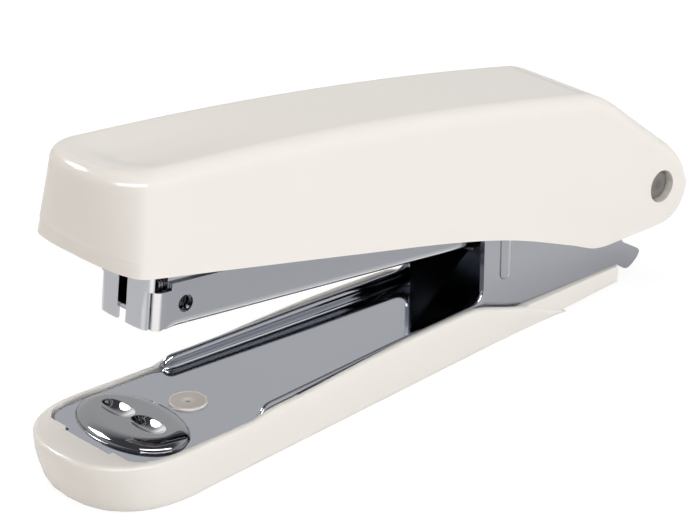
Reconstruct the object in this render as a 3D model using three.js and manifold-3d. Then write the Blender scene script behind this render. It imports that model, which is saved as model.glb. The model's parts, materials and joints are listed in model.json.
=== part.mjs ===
// A small desk stapler for No. 10 staples, standing open as it rests on a table.
// Millimetres. +X runs to the rear, +Y to the far side, +Z up. The origin is under the middle of
// the object, on the table. The base, the magazine and the handle are three groups, and each of them
// has its own origin on the axis of the pin that joins them, with -X running to its nose.
import * as THREE from "three";
import { mergeVertices } from "three/addons/utils/BufferGeometryUtils.js";
import Module from "manifold-3d";

const wasm = await Module();
wasm.setup();

// ---- Driving dimensions -------------------------------------------------------------------------

// Stance
const PIN_HEIGHT = 14.77; // pin axis above the table
const BASE_PITCH = 1.78; // degrees that the base plate climbs towards the nose
const MAGAZINE_LIFT = 5.86; // degrees between the base plate and the resting magazine
const DRIVER_LEAN = 2; // degrees that the resting driver leans back, half of its working stroke

// Clearances
const SEAT_GAP = 0.3; // between a piece and what it sits in
const SHEET_GAP = 0.05; // between two sheets that lie on each other
const RUNNING_GAP = 0.1; // round a shaft that turns
const SLIDING_GAP = 0.15; // each side of what slides in the magazine
const MAGAZINE_GAP = 0.5; // each side of the magazine inside the handle's frame
const FRAME_GAP = 0.21; // each side of the handle's frame between the base's walls
const COVER_GAP = 1.44; // each side of those walls inside the handle's cover

// Staples
const STAPLE_HALF = 4.5;
const STAPLE_LEG = 5;
const STAPLE_WIRE = 0.45;
const STRIP_LENGTH = 25;

// Magazine: an outer channel and the staple rail inside it
const MAGAZINE_LENGTH = 91.7; // pin axis to the middle of the rail's front face
const MAGAZINE_SHEET = 0.45;
const MAGAZINE_BOTTOM = 4.55; // below the pin axis
const MAGAZINE_SIDE_TOP = 1.6; // above the pin axis
const MAGAZINE_REAR = 7;
const MAGAZINE_CORNER = 0.9; // radius of the upright front edges
const MAGAZINE_NOTCH_LENGTH = 2.2; // cut from the upper front corners
const MAGAZINE_NOTCH_FOOT = 0.65;
const MAGAZINE_LIP = 1; // the channel's front edges turn in by this
const MAGAZINE_HOLE_SETBACK = 6.1; // behind the front face
const MAGAZINE_HOLE_Z = -1.55;
const MAGAZINE_HOLE_RADIUS = 1.2;
const RAIL_TOP = 3;
const RAIL_REAR = 14;
const RAIL_FACE_TOP = 7; // the slotted front face stands higher than the rail's sides
const RAIL_FACE_BULGE = 0.7; // the middle of the face stands in front of its edges
const RAIL_SLOT_HALF = 0.85;
const RAIL_SLOT_TOP = 4;

// Driver, pusher, rod and bush
const DRIVER_SHEET = 0.5;
const DRIVER_LANE = 1.15; // room for the driver between the rail's front face and the strip
const DRIVER_SETBACK = 0.3; // driver behind the rail's front face
const DRIVER_RIVET_Y = 2.6;
const DRIVER_RIVET_RADIUS = 0.8;
const DRIVER_RIVET_HEAD = 1.2;
const PUSHER_LENGTH = 8;
const PUSHER_SHEET = 0.7;
const ROD_RADIUS = 0.85;
const ROD_Z = -1.25;
const SPRING_RADIUS = 1.75;
const SPRING_WIRE = 0.25;
const SPRING_TURNS = 20;
const ANCHOR_FRONT = 22;
const ANCHOR_LENGTH = 6;
const BUSH_WALL = 0.85;

// Handle frame
const FRAME_SHEET = 0.7;
const FRAME_ROOF = 8.9;
const FRAME_ROOF_REAR = 14;
const FRAME_FLANGE_DEPTH = 3.3;

// Pin and its holes
const PIN_RADIUS = 2;
const PIN_RECESS = 0.75; // pin ends inside the outer face of the handle's cover
const PIN_HEAD_RADIUS = 2.9;
const PIN_HEAD_THICKNESS = 0.5;
const PIN_WINDOW_GAP = 0.4; // round the pin's end in the handle's cover
const LUG_RADIUS = 3.9; // every sheet's round end about the pin

// Base frame: the pressed steel plate with its flanges and rear walls
const BASE_SHEET = 0.8;
const PLATE_DROP = 10.8; // pin axis down to the plate's upper face
const PLATE_LEDGE = 0.9; // of plate in front of the anvil
const PLATE_TONGUE = 0.7; // middle of the front edge stands out by this
const PLATE_TONGUE_HALF = 4.5;
const FLANGE_SETBACK = 3.71; // behind the rivet
const FLANGE_INSET = 0.08; // flange inside the plate's edge at its front
const FLANGE_HEIGHT = 2.1;
const WALL_FRONT = 33.3;
const WALL_TOP = 4.2; // above the pin axis
const WALL_RIB_SETBACK = 4.2;
const WALL_RIB_WIDTH = 2;
const WALL_RIB_HEIGHT = 0.35;
const WALL_RIB_FOOT = -6.5;
const PLATE_REAR = 5.6;
const REMOVER_HALF = 4;
const REMOVER_LENGTH = 3.7;

// Anvil and the plastic rivet behind it
const ANVIL_ACROSS = 9.2;
const ANVIL_ALONG = 5.9;
const ANVIL_HEIGHT = 1.28;
const ANVIL_SHOULDER = 1.5; // how far its top stands in from its foot
const ANVIL_SPIGOT_INSET = 0.6;
const GROOVE_REACH = 6.1;
const GROOVE_WIDTH = 1.7;
const GROOVE_DEPTH = 0.6;
const GROOVE_BRIDGE = 0.4; // half width of the ridge between the two grooves
const BASE_RIVET_SPACE = 0.9; // between the anvil and the rivet's head
const BASE_RIVET_HEAD = 2.64;
const BASE_RIVET_PROUD = 0.45;
const BASE_RIVET_SHANK = 1.5;
const BASE_RIVET_LENGTH = 3;

// Plastic base cover
const BASE_NOSE = 5.2; // in front of the plate's tongue
const BASE_MARGIN = 0.6; // wider than the handle's cover, each side
const BASE_WALL = 0.95; // beside the plate
const BASE_CHEEK_WALL = 1.04; // beside the rear walls
const BASE_NOSE_LENGTH = 12;
const BASE_NOSE_POWER = 2.35;
const BASE_RIM = 0.5; // stands above the plate round the anvil
const BASE_CHEEK_RIM = 2.25; // stands above the plate beside the flanges
const BASE_CHEEK_RISE = 27; // length over which the one rim rises to the other
const BASE_FLOOR = 1.2;
const BASE_LEDGE = 1.5;
const BASE_TAIL_INSET = 0.5; // the tail is narrower than the walls above it
const BASE_TAIL_END = 5.7;
const BASE_RIB = 2;
const BASE_RIB_X = 58; // stiffening rib across the hollow

// Leaf springs and their rivets
const LEAF_SHEET = 0.4;
const BASE_SPRING_HALF = 4;
const BASE_SPRING_RIVET_X = 11.5;
const BASE_SPRING_TIP_X = 30;
const HANDLE_SPRING_HALF = 5;
const HANDLE_SPRING_RIVET_X = 29;
const HANDLE_SPRING_TIP_X = 62;
const SPRING_RIVET_RADIUS = 1;
const SPRING_RIVET_HEAD = 1.9;
const SPRING_RIVET_HEAD_THICKNESS = 0.6;

// Handle cover
const COVER_WALL = 1.5;
const COVER_NOSE = 7.9; // lower edge of the nose in front of the magazine
const COVER_NOSE_LEAN = 6.7; // degrees that the nose leans out as it rises
const COVER_NOSE_LENGTH = [7, 6]; // at the crest, at the lower edge
const COVER_NOSE_POWER = [2.3, 3];
const COVER_KNEE = 1; // height over which the sides lean in
const COVER_SIDE_LEAN = 7.2; // degrees
const COVER_CREST = 16.4; // highest line of the cover above the pin
const COVER_CREST_X = 58;
const COVER_CREST_RADIUS = 600;
const COVER_EDGE_RADIUS = 1.2;
const COVER_STATIONS = 8; // cross-sections between the nose and the rear
const COVER_BEND_X = 13; // where the top breaks down to the rear slope
const COVER_SLOPE = 31; // degrees
const COVER_REAR_EDGE = 5; // height of the rear slope's lower edge
const COVER_RIB = 1.2;
const COVER_RIBS_X = [22, 42, 62, 80];

// ---- Sizes that follow --------------------------------------------------------------------------

// Half widths, from the staples outwards
const railInner = STAPLE_HALF + SLIDING_GAP;
const railOuter = railInner + MAGAZINE_SHEET;
const channelInner = railOuter + SHEET_GAP;
const channelOuter = channelInner + MAGAZINE_SHEET;
const lipInner = channelOuter - MAGAZINE_LIP;
const driverHalf = STAPLE_HALF - MAGAZINE_SHEET / 2;
const frameInner = channelOuter + MAGAZINE_GAP;
const frameOuter = frameInner + FRAME_SHEET;
const wallInner = frameOuter + FRAME_GAP;
const wallOuter = wallInner + BASE_SHEET;
const coverHalfWidth = wallOuter + COVER_GAP + COVER_WALL;
const baseHalf = coverHalfWidth + BASE_MARGIN;
const plateHalf = baseHalf - BASE_WALL - SEAT_GAP;
const flangeOuter = plateHalf - FLANGE_INSET;
const flangeInner = flangeOuter - BASE_SHEET;
const cheekHalf = wallOuter + SEAT_GAP + BASE_CHEEK_WALL;
const rightAcross = [-2 * baseHalf, 2 * baseHalf]; // for cuts that pass through both sides

// Heights in the magazine
const channelFloor = -MAGAZINE_BOTTOM + MAGAZINE_SHEET;
const railFloor = channelFloor + SHEET_GAP + MAGAZINE_SHEET;
const stripFoot = railFloor + SHEET_GAP;
const stripTop = stripFoot + STAPLE_LEG + STAPLE_WIRE;

// Stations along the magazine and the handle, from the nose to the rear
const coverFront = -MAGAZINE_LENGTH - COVER_NOSE;
const railFaceEdge = -MAGAZINE_LENGTH + RAIL_FACE_BULGE;
const railFaceBack = railFaceEdge + MAGAZINE_SHEET;
const driverFront = railFaceBack + DRIVER_SETBACK;
const channelFront = railFaceBack + SEAT_GAP + SHEET_GAP;
const driverBack = driverFront + DRIVER_SHEET;
const frameFront = driverBack + RUNNING_GAP;
const stripFront = railFaceBack + DRIVER_LANE;
const stripRear = stripFront + STRIP_LENGTH;
const pusherFront = stripRear + RUNNING_GAP;
const anchorRear = -ANCHOR_FRONT + ANCHOR_LENGTH;

// Stations along the base, from the nose to the rear
const anvilX = (driverFront + driverBack) / 2;
const plateFront = anvilX - ANVIL_ALONG - PLATE_LEDGE;
const baseFront = plateFront - PLATE_TONGUE - BASE_NOSE;
const baseRivetX = anvilX + ANVIL_ALONG + BASE_RIVET_SPACE + BASE_RIVET_HEAD;
const flangeFront = baseRivetX + FLANGE_SETBACK;

// ---- Materials ----------------------------------------------------------------------------------

const IVORY = { color: 0xf0ebe2, roughness: 0.4, metalness: 0 };
const CHROME = { color: 0xb9bcc2, roughness: 0.15, metalness: 1 };
const STEEL = { color: 0x9da1a6, roughness: 0.35, metalness: 1 };
const SPRING_STEEL = { color: 0x6f7276, roughness: 0.4, metalness: 1 };
const WHITE_NYLON = { color: 0xf4f1ec, roughness: 0.5, metalness: 0 };
const STAPLE_STEEL = { color: 0xc2c4c8, roughness: 0.3, metalness: 1 };

// ---- Helpers ------------------------------------------------------------------------------------

const radians = THREE.MathUtils.degToRad;
const lerp = THREE.MathUtils.lerp;

// A closed three.js geometry as a manifold-3d solid.
function solid(geometry) {
  const bare = geometry.clone();
  bare.deleteAttribute("normal");
  bare.deleteAttribute("uv");
  const merged = mergeVertices(bare, 1e-4);
  return new wasm.Manifold(
    new wasm.Mesh({
      numProp: 3,
      vertProperties: merged.attributes.position.array,
      triVerts: new Uint32Array(merged.index.array),
    }),
  );
}

// A solid as a named mesh.
function piece(name, shape, finish) {
  const { vertProperties, triVerts } = shape.getMesh();
  const geometry = new THREE.BufferGeometry();
  geometry.setAttribute("position", new THREE.BufferAttribute(vertProperties, 3));
  geometry.setIndex(new THREE.BufferAttribute(triVerts, 1));
  geometry.computeVertexNormals();
  const mesh = new THREE.Mesh(geometry, new THREE.MeshStandardMaterial(finish));
  mesh.name = name;
  return mesh;
}

function joined(solids) {
  return solids.reduce((all, next) => all.add(next));
}

function box([x0, x1], [y0, y1], [z0, z1]) {
  const geometry = new THREE.BoxGeometry(x1 - x0, y1 - y0, z1 - z0);
  return solid(geometry.translate((x0 + x1) / 2, (y0 + y1) / 2, (z0 + z1) / 2));
}

// A box that is as wide to either side of the middle.
function slab(xs, half, zs) {
  return box(xs, [-half, half], zs);
}

// Two boxes, one on each side of the middle.
function pairOfSlabs(xs, [inner, outer], zs) {
  return box(xs, [inner, outer], zs).add(box(xs, [-outer, -inner], zs));
}

function outline(points) {
  return new THREE.Shape(points.map(([u, v]) => new THREE.Vector2(u, v)));
}

// An outline in X and Z, extruded across the object from y0 to y1.
function sidePlate(shape, [y0, y1], curveSegments = 10) {
  const geometry = new THREE.ExtrudeGeometry(shape, {
    depth: y1 - y0,
    bevelEnabled: false,
    curveSegments,
  });
  return solid(geometry.rotateX(Math.PI / 2).translate(0, y1, 0));
}

// An outline in X and Y, extruded upwards from z0 to z1.
function planPlate(shape, [z0, z1], curveSegments = 10) {
  const geometry = new THREE.ExtrudeGeometry(shape, {
    depth: z1 - z0,
    bevelEnabled: false,
    curveSegments,
  });
  return solid(geometry.translate(0, 0, z0));
}

// An outline in Y and Z, extruded rearwards from x0 to x1.
function sectionBar(shape, [x0, x1]) {
  const geometry = new THREE.ExtrudeGeometry(shape, { depth: x1 - x0, bevelEnabled: false });
  const turn = new THREE.Matrix4().makeBasis(
    new THREE.Vector3(0, 1, 0),
    new THREE.Vector3(0, 0, 1),
    new THREE.Vector3(1, 0, 0),
  );
  return solid(geometry.applyMatrix4(turn).translate(x0, 0, 0));
}

function acrossCylinder(radius, [y0, y1], x = 0, z = 0, segments = 32) {
  const geometry = new THREE.CylinderGeometry(radius, radius, y1 - y0, segments);
  return solid(geometry.translate(x, (y0 + y1) / 2, z));
}

function uprightCylinder(radius, [z0, z1], x, y = 0, segments = 24) {
  const geometry = new THREE.CylinderGeometry(radius, radius, z1 - z0, segments);
  return solid(geometry.rotateX(Math.PI / 2).translate(x, y, (z0 + z1) / 2));
}

function lengthwiseCylinder(radius, [x0, x1], y, z, segments = 20) {
  const geometry = new THREE.CylinderGeometry(radius, radius, x1 - x0, segments);
  return solid(geometry.rotateZ(Math.PI / 2).translate((x0 + x1) / 2, y, z));
}

// A closed solid through a stack of rings with as many points each. Every ring starts at the rear on
// the far side, runs round the nose, and ends at the rear on the near side.
function loft(rings) {
  const count = rings[0].length;
  const top = (rings.length - 1) * count;
  const faces = [];
  for (let start = 0; start < top; start += count) {
    for (let i = 0; i < count; i += 1) {
      const a = start + i;
      const b = start + ((i + 1) % count);
      faces.push(a, b, b + count, a, b + count, a + count);
    }
  }
  for (let i = 0, j = count - 1; i + 1 < j; i += 1, j -= 1) {
    faces.push(i, j, i + 1, top + i, top + i + 1, top + j);
    if (i + 1 < j - 1) faces.push(i + 1, j, j - 1, top + i + 1, top + j - 1, top + j);
  }
  const geometry = new THREE.BufferGeometry().setFromPoints(rings.flat());
  geometry.setIndex(faces);
  return solid(geometry);
}

// A nose seen from above: a superellipse from one flank round the tip to the other.
function nose(tip, half, length, power, steps = 9) {
  const points = [];
  for (let i = -steps; i <= steps; i += 1) {
    const angle = (i / steps) * (Math.PI / 2);
    const across = Math.abs(Math.sin(angle)) ** (2 / power);
    const along = Math.cos(angle) ** (2 / power);
    points.push([-tip + length * (1 - along), -Math.sign(i) * half * across]);
  }
  return points;
}

function ellipseRing(across, along, x, z, steps = 36) {
  return Array.from({ length: steps }, (_, i) => {
    const angle = (i / steps) * 2 * Math.PI;
    return new THREE.Vector3(x + along * Math.cos(angle), across * Math.sin(angle), z);
  });
}

// A leaf spring: a bent strip, whose upper side follows the points.
function leaf(points, half) {
  const lower = points.map(([x, z]) => [x, z - LEAF_SHEET]).reverse();
  return sidePlate(outline([...points, ...lower].reverse()), [-half, half]);
}

// A rivet with a head on each side of what it holds between z0 and z1.
function sheetRivet(x, [z0, z1]) {
  const shank = uprightCylinder(SPRING_RIVET_RADIUS, [z0, z1], x);
  const head = SPRING_RIVET_HEAD_THICKNESS;
  const upper = uprightCylinder(SPRING_RIVET_HEAD, [z1, z1 + head], x);
  const lower = uprightCylinder(SPRING_RIVET_HEAD, [z0 - head, z0], x);
  return joined([shank, upper, lower]);
}

const pinHole = acrossCylinder(PIN_RADIUS + RUNNING_GAP, rightAcross);

// ---- Base ---------------------------------------------------------------------------------------

const plateTop = -PLATE_DROP;
const plateBottom = plateTop - BASE_SHEET;

// Height of the table under a point of the base, in the base's own frame.
function table(x) {
  return (x * Math.sin(radians(BASE_PITCH)) - PIN_HEIGHT) / Math.cos(radians(BASE_PITCH));
}

// The plate's outline from above, grown by a clearance.
function platePlan(grow = 0) {
  const front = plateFront - grow;
  const half = plateHalf + grow;
  const flank = [
    [front - PLATE_TONGUE, PLATE_TONGUE_HALF + grow],
    [front, PLATE_TONGUE_HALF + grow],
    [front, half - 2.4],
    [front + 1.4, half - 0.8],
    [front + 3.6, half - 0.15],
    [front + 6.6, half],
    [flangeFront, flangeOuter + grow],
    [-WALL_FRONT, wallOuter + grow],
    [-PLATE_REAR + grow * 30, wallOuter + grow],
  ];
  return outline([...flank.map(([x, y]) => [x, -y]), ...flank.reverse()]);
}

// Both flanges and rear walls as seen from the side.
function baseSideOutline() {
  const shape = new THREE.Shape();
  const flangeTop = plateTop + FLANGE_HEIGHT;
  shape.moveTo(flangeFront, plateBottom);
  shape.lineTo(-PLATE_REAR, plateBottom);
  shape.lineTo(-5.4, plateBottom - 0.2);
  shape.lineTo(-3.6, plateBottom - 1.5);
  shape.lineTo(-2.35, plateBottom - 1);
  shape.quadraticCurveTo(-0.9, plateBottom - 0.1, -1, plateTop);
  shape.lineTo(-5, plateTop + 2.8);
  shape.absarc(0, 0, LUG_RADIUS, radians(-56), radians(90), false);
  shape.lineTo(-WALL_FRONT + 2, WALL_TOP);
  shape.quadraticCurveTo(-WALL_FRONT, WALL_TOP, -WALL_FRONT, WALL_TOP - 2);
  shape.lineTo(-WALL_FRONT, flangeTop + 3.3);
  shape.quadraticCurveTo(-WALL_FRONT, flangeTop + 0.2, -WALL_FRONT - 2.6, flangeTop);
  shape.lineTo(flangeFront + 2, flangeTop);
  shape.quadraticCurveTo(flangeFront, flangeTop, flangeFront, flangeTop - 1.6);
  return shape;
}

function baseFrame() {
  const reach = [plateBottom - 5, WALL_TOP + 1];
  const flank = outline([
    [flangeFront, flangeInner],
    [-WALL_FRONT, wallInner],
    [LUG_RADIUS + 1, wallInner],
    [LUG_RADIUS + 1, wallOuter],
    [-WALL_FRONT, wallOuter],
    [flangeFront, flangeOuter],
  ]);
  const farSide = planPlate(flank, reach);
  const bothSides = farSide.add(farSide.mirror([0, 1, 0]));
  const walls = bothSides.intersect(sidePlate(baseSideOutline(), rightAcross, 6));
  const ribX = -WALL_FRONT + WALL_RIB_SETBACK;
  const ribs = pairOfSlabs(
    [ribX - WALL_RIB_WIDTH / 2, ribX + WALL_RIB_WIDTH / 2],
    [wallOuter - BASE_SHEET / 2, wallOuter + WALL_RIB_HEIGHT],
    [WALL_RIB_FOOT, WALL_TOP - 1.5],
  );
  const plate = planPlate(platePlan(), [plateBottom, plateTop]);
  const remover = sidePlate(
    outline([
      [-PLATE_REAR - 1, plateBottom],
      [-PLATE_REAR + 0.2, plateBottom],
      [-PLATE_REAR + REMOVER_LENGTH + 0.2, plateBottom - 1.2],
      [-PLATE_REAR + REMOVER_LENGTH + 0.4, plateBottom - 0.5],
      [-PLATE_REAR + 0.4, plateTop],
      [-PLATE_REAR - 1, plateTop],
    ]),
    [-REMOVER_HALF, REMOVER_HALF],
  );
  const spigot = ANVIL_SPIGOT_INSET - SEAT_GAP;
  const anvilHole = loft([
    ellipseRing(ANVIL_ACROSS - spigot, ANVIL_ALONG - spigot, anvilX, plateBottom - 1),
    ellipseRing(ANVIL_ACROSS - spigot, ANVIL_ALONG - spigot, anvilX, plateTop + 1),
  ]);
  const through = [plateBottom - 1, plateTop + 1];
  const rivetHole = uprightCylinder(BASE_RIVET_SHANK + SEAT_GAP, through, baseRivetX);
  const springHole = uprightCylinder(
    SPRING_RIVET_RADIUS + RUNNING_GAP,
    through,
    -BASE_SPRING_RIVET_X,
  );
  return joined([plate, walls, ribs, remover])
    .subtract(anvilHole)
    .subtract(rivetHole)
    .subtract(springHole)
    .subtract(pinHole);
}

function anvil() {
  const top = plateTop + ANVIL_HEIGHT;
  const spigotAcross = ANVIL_ACROSS - ANVIL_SPIGOT_INSET;
  const spigotAlong = ANVIL_ALONG - ANVIL_SPIGOT_INSET;
  const spigot = loft([
    ellipseRing(spigotAcross, spigotAlong, anvilX, plateBottom),
    ellipseRing(spigotAcross, spigotAlong, anvilX, plateTop + 0.4),
  ]);
  const boss = loft(
    [
      [0, 0],
      [0.1, 0.5],
      [0.55, 0.85],
      [ANVIL_SHOULDER, 1],
    ].map(([inset, rise]) =>
      ellipseRing(
        ANVIL_ACROSS - inset,
        ANVIL_ALONG - inset,
        anvilX,
        lerp(plateTop, top, rise),
      ),
    ),
  );
  const middle = (GROOVE_BRIDGE + GROOVE_REACH) / 2;
  const groove = loft(
    [
      [0.6, top - GROOVE_DEPTH],
      [0, top + 0.3],
    ].map(([inset, z]) =>
      ellipseRing(GROOVE_REACH - middle - inset, GROOVE_WIDTH / 2 - inset / 2, anvilX, z, 20),
    ),
  );
  return boss
    .add(spigot)
    .subtract(groove.translate([0, middle, 0]))
    .subtract(groove.translate([0, -middle, 0]));
}

function baseRivet() {
  const profile = [
    [0, plateTop - BASE_RIVET_LENGTH],
    [BASE_RIVET_SHANK - 0.3, plateTop - BASE_RIVET_LENGTH],
    [BASE_RIVET_SHANK, plateTop - BASE_RIVET_LENGTH + 0.4],
    [BASE_RIVET_SHANK, plateTop],
    [BASE_RIVET_HEAD, plateTop],
    [BASE_RIVET_HEAD - 0.15, plateTop + BASE_RIVET_PROUD],
    [0.5, plateTop + BASE_RIVET_PROUD],
    [0, plateTop + BASE_RIVET_PROUD - 0.25],
  ].map(([r, z]) => new THREE.Vector2(r, z));
  const geometry = new THREE.LatheGeometry(profile, 28);
  return solid(geometry.rotateX(Math.PI / 2).translate(baseRivetX, 0, 0));
}

// Half width of the base cover outside, at x.
function baseHalfAt(x) {
  const from = baseFront + BASE_NOSE_LENGTH;
  return lerp(baseHalf, cheekHalf, Math.max((x - from) / (-WALL_FRONT - from), 0));
}

function baseCover() {
  const rear = -16;
  const heights = [
    [0, 2.6, 0.9],
    [0.5, 1.8, 0.4],
    [1.6, 1.2, 0.25],
    [3.4, 0.6, 0.1],
    [5.4, 0.15, 0],
    [12, 0, 0],
  ];
  const rings = heights.map(([height, noseInset, sideInset]) => {
    const tip = -baseFront - noseInset;
    const half = baseHalf - sideInset;
    const front = nose(tip, half, BASE_NOSE_LENGTH, BASE_NOSE_POWER);
    const flank = [rear, -WALL_FRONT].map((x) => [x, baseHalfAt(x) - sideInset]);
    const ring = [...flank, ...front, ...flank.map(([x, y]) => [x, -y]).reverse()];
    return ring.map(([x, y]) => new THREE.Vector3(x, y, table(x) + height));
  });
  const rim = plateTop + BASE_RIM;
  const cheek = plateTop + BASE_CHEEK_RIM;
  const profile = new THREE.Shape();
  profile.moveTo(baseFront - 5, plateTop - 12);
  profile.lineTo(rear + 2, plateTop - 12);
  profile.lineTo(rear - 1, table(rear) + 1);
  profile.splineThru(
    [
      [-22.9, plateTop - 1.5],
      [-28.4, plateTop - 0.1],
      [-WALL_FRONT - 2, cheek - 0.2],
      [-WALL_FRONT - 5, cheek],
    ].map(([x, z]) => new THREE.Vector2(x, z)),
  );
  const riseEnd = flangeFront + BASE_CHEEK_RISE;
  profile.lineTo(riseEnd, cheek);
  profile.bezierCurveTo(
    lerp(flangeFront, riseEnd, 0.63),
    cheek,
    lerp(flangeFront, riseEnd, 0.4),
    rim,
    flangeFront,
    rim,
  );
  profile.lineTo(baseFront - 5, rim);
  const shell = loft(rings).intersect(sidePlate(profile, rightAcross, 5));
  const ledge = plateBottom - SEAT_GAP;
  const tailHalf = wallOuter - BASE_TAIL_INSET;
  const tail = sidePlate(
    outline([
      [-WALL_FRONT - 5, table(-WALL_FRONT - 5)],
      [-BASE_TAIL_END - 0.6, table(-BASE_TAIL_END)],
      [-BASE_TAIL_END, table(-BASE_TAIL_END) + 0.8],
      [-BASE_TAIL_END, ledge],
      [-WALL_FRONT - 5, ledge],
    ]),
    [-tailHalf, tailHalf],
  );
  const pocket = planPlate(platePlan(SEAT_GAP), [ledge, 0]);
  const cells = [
    [plateFront + BASE_LEDGE, baseRivetX - BASE_RIVET_SHANK - BASE_RIB],
    [baseRivetX + BASE_RIVET_SHANK + BASE_RIB, -BASE_RIB_X - BASE_RIB / 2],
    [-BASE_RIB_X + BASE_RIB / 2, -WALL_FRONT - BASE_RIB],
    [-WALL_FRONT, -BASE_SPRING_RIVET_X + 3],
  ].map(([x0, x1], index) => {
    const room = [plateHalf - BASE_LEDGE, wallOuter + 1, wallOuter, tailHalf][index];
    const half = room - BASE_LEDGE;
    return sidePlate(
      outline([
        [x0, table(x0) + BASE_FLOOR],
        [x1, table(x1) + BASE_FLOOR],
        [x1, ledge + 1],
        [x0, ledge + 1],
      ]),
      [-half, half],
    );
  });
  const rivetHole = uprightCylinder(
    BASE_RIVET_SHANK + SLIDING_GAP,
    [plateTop - BASE_RIVET_LENGTH - SEAT_GAP, 0],
    baseRivetX,
  );
  return shell.add(tail).subtract(joined([pocket, ...cells, rivetHole]));
}

// The magazine's underside at x along the base, as it rests.
function magazineUnderside(x) {
  const lift = radians(MAGAZINE_LIFT);
  return -x * Math.tan(lift) - MAGAZINE_BOTTOM / Math.cos(lift);
}

function baseSpring() {
  const flat = plateTop + SHEET_GAP + LEAF_SHEET;
  const tip = magazineUnderside(-BASE_SPRING_TIP_X) - SEAT_GAP;
  const strip = leaf(
    [
      [-BASE_SPRING_RIVET_X + 3.5, flat],
      [-BASE_SPRING_RIVET_X - 5, flat],
      [-BASE_SPRING_RIVET_X - 7, flat + 0.5],
      [-BASE_SPRING_TIP_X + 2, tip - 0.6],
      [-BASE_SPRING_TIP_X, tip],
      [-BASE_SPRING_TIP_X - 2, tip - 0.5],
    ],
    BASE_SPRING_HALF,
  );
  const hole = uprightCylinder(
    SPRING_RIVET_RADIUS + RUNNING_GAP,
    [plateTop - 1, flat + 1],
    -BASE_SPRING_RIVET_X,
  );
  return strip.subtract(hole);
}

function baseSpringRivet() {
  const top = plateTop + 2 * SHEET_GAP + LEAF_SHEET;
  return sheetRivet(-BASE_SPRING_RIVET_X, [plateBottom - SHEET_GAP, top]);
}

// The pin lies across: a stub that shows in the cover's window, a head, and the shaft.
function pivotPin() {
  const headAt = wallOuter + SHEET_GAP;
  const head = [-headAt - PIN_HEAD_THICKNESS, -headAt];
  const reach = coverHalfWidth - PIN_RECESS;
  return acrossCylinder(PIN_RADIUS, [-reach, reach]).add(
    acrossCylinder(PIN_HEAD_RADIUS, head),
  );
}

function pinRetainer() {
  const at = wallOuter + SHEET_GAP;
  return acrossCylinder(PIN_HEAD_RADIUS, [at, at + PIN_HEAD_THICKNESS]).subtract(pinHole);
}

// ---- Magazine -----------------------------------------------------------------------------------

// A trough seen from its end: floor and two sides.
function trough(half, sheet, bottom, top) {
  const inner = half - sheet;
  return outline([
    [-half, bottom],
    [half, bottom],
    [half, top],
    [inner, top],
    [inner, bottom + sheet],
    [-inner, bottom + sheet],
    [-inner, top],
    [-half, top],
  ]);
}

const sideHole = acrossCylinder(
  MAGAZINE_HOLE_RADIUS,
  rightAcross,
  -MAGAZINE_LENGTH + MAGAZINE_HOLE_SETBACK,
  MAGAZINE_HOLE_Z,
  20,
);

// The channel's front edge from above: the side turns inwards round a corner and ends in a lip.
function channelLip() {
  const inside = channelFront + MAGAZINE_SHEET;
  const bend = MAGAZINE_CORNER - MAGAZINE_SHEET;
  const rear = channelFront + 2 * MAGAZINE_CORNER;
  const shape = new THREE.Shape();
  shape.moveTo(rear, channelInner);
  shape.lineTo(inside + bend, channelInner);
  shape.quadraticCurveTo(inside, channelInner, inside, channelInner - bend);
  shape.lineTo(inside, lipInner);
  shape.lineTo(channelFront, lipInner);
  shape.lineTo(channelFront, channelOuter - MAGAZINE_CORNER);
  shape.quadraticCurveTo(channelFront, channelOuter, channelFront + MAGAZINE_CORNER, channelOuter);
  shape.lineTo(rear, channelOuter);
  return planPlate(shape, [-MAGAZINE_BOTTOM, MAGAZINE_NOTCH_FOOT], 4);
}

function magazineChannel() {
  const section = trough(channelOuter, MAGAZINE_SHEET, -MAGAZINE_BOTTOM, MAGAZINE_SIDE_TOP);
  const body = sectionBar(section, [channelFront + 1.7 * MAGAZINE_CORNER, -MAGAZINE_REAR]);
  const lip = channelLip();
  const lug = acrossCylinder(LUG_RADIUS, [channelInner, channelOuter]);
  const arms = pairOfSlabs(
    [-MAGAZINE_REAR - 4, 0],
    [channelInner, channelOuter],
    [-LUG_RADIUS, MAGAZINE_SIDE_TOP],
  );
  const exit = slab(
    [channelFront - 1, stripFront],
    channelInner,
    [-MAGAZINE_BOTTOM - 1, channelFloor],
  );
  const notch = slab(
    [channelFront - 1, channelFront + MAGAZINE_NOTCH_LENGTH],
    channelOuter + 1,
    [MAGAZINE_NOTCH_FOOT, MAGAZINE_SIDE_TOP + 1],
  );
  return joined([body.subtract(exit), lip, lip.mirror([0, 1, 0]), arms, lug, lug.mirror([0, 1, 0])])
    .subtract(notch)
    .subtract(sideHole)
    .subtract(pinHole);
}

// The rail's bulging front face, seen from above, out to a half width.
function railFacePlan(half) {
  const shape = new THREE.Shape();
  shape.moveTo(railFaceEdge, half);
  shape.quadraticCurveTo(railFaceEdge - 2 * RAIL_FACE_BULGE, 0, railFaceEdge, -half);
  shape.lineTo(railFaceBack, -half);
  shape.quadraticCurveTo(railFaceBack - 2 * RAIL_FACE_BULGE, 0, railFaceBack, half);
  return shape;
}

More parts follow.
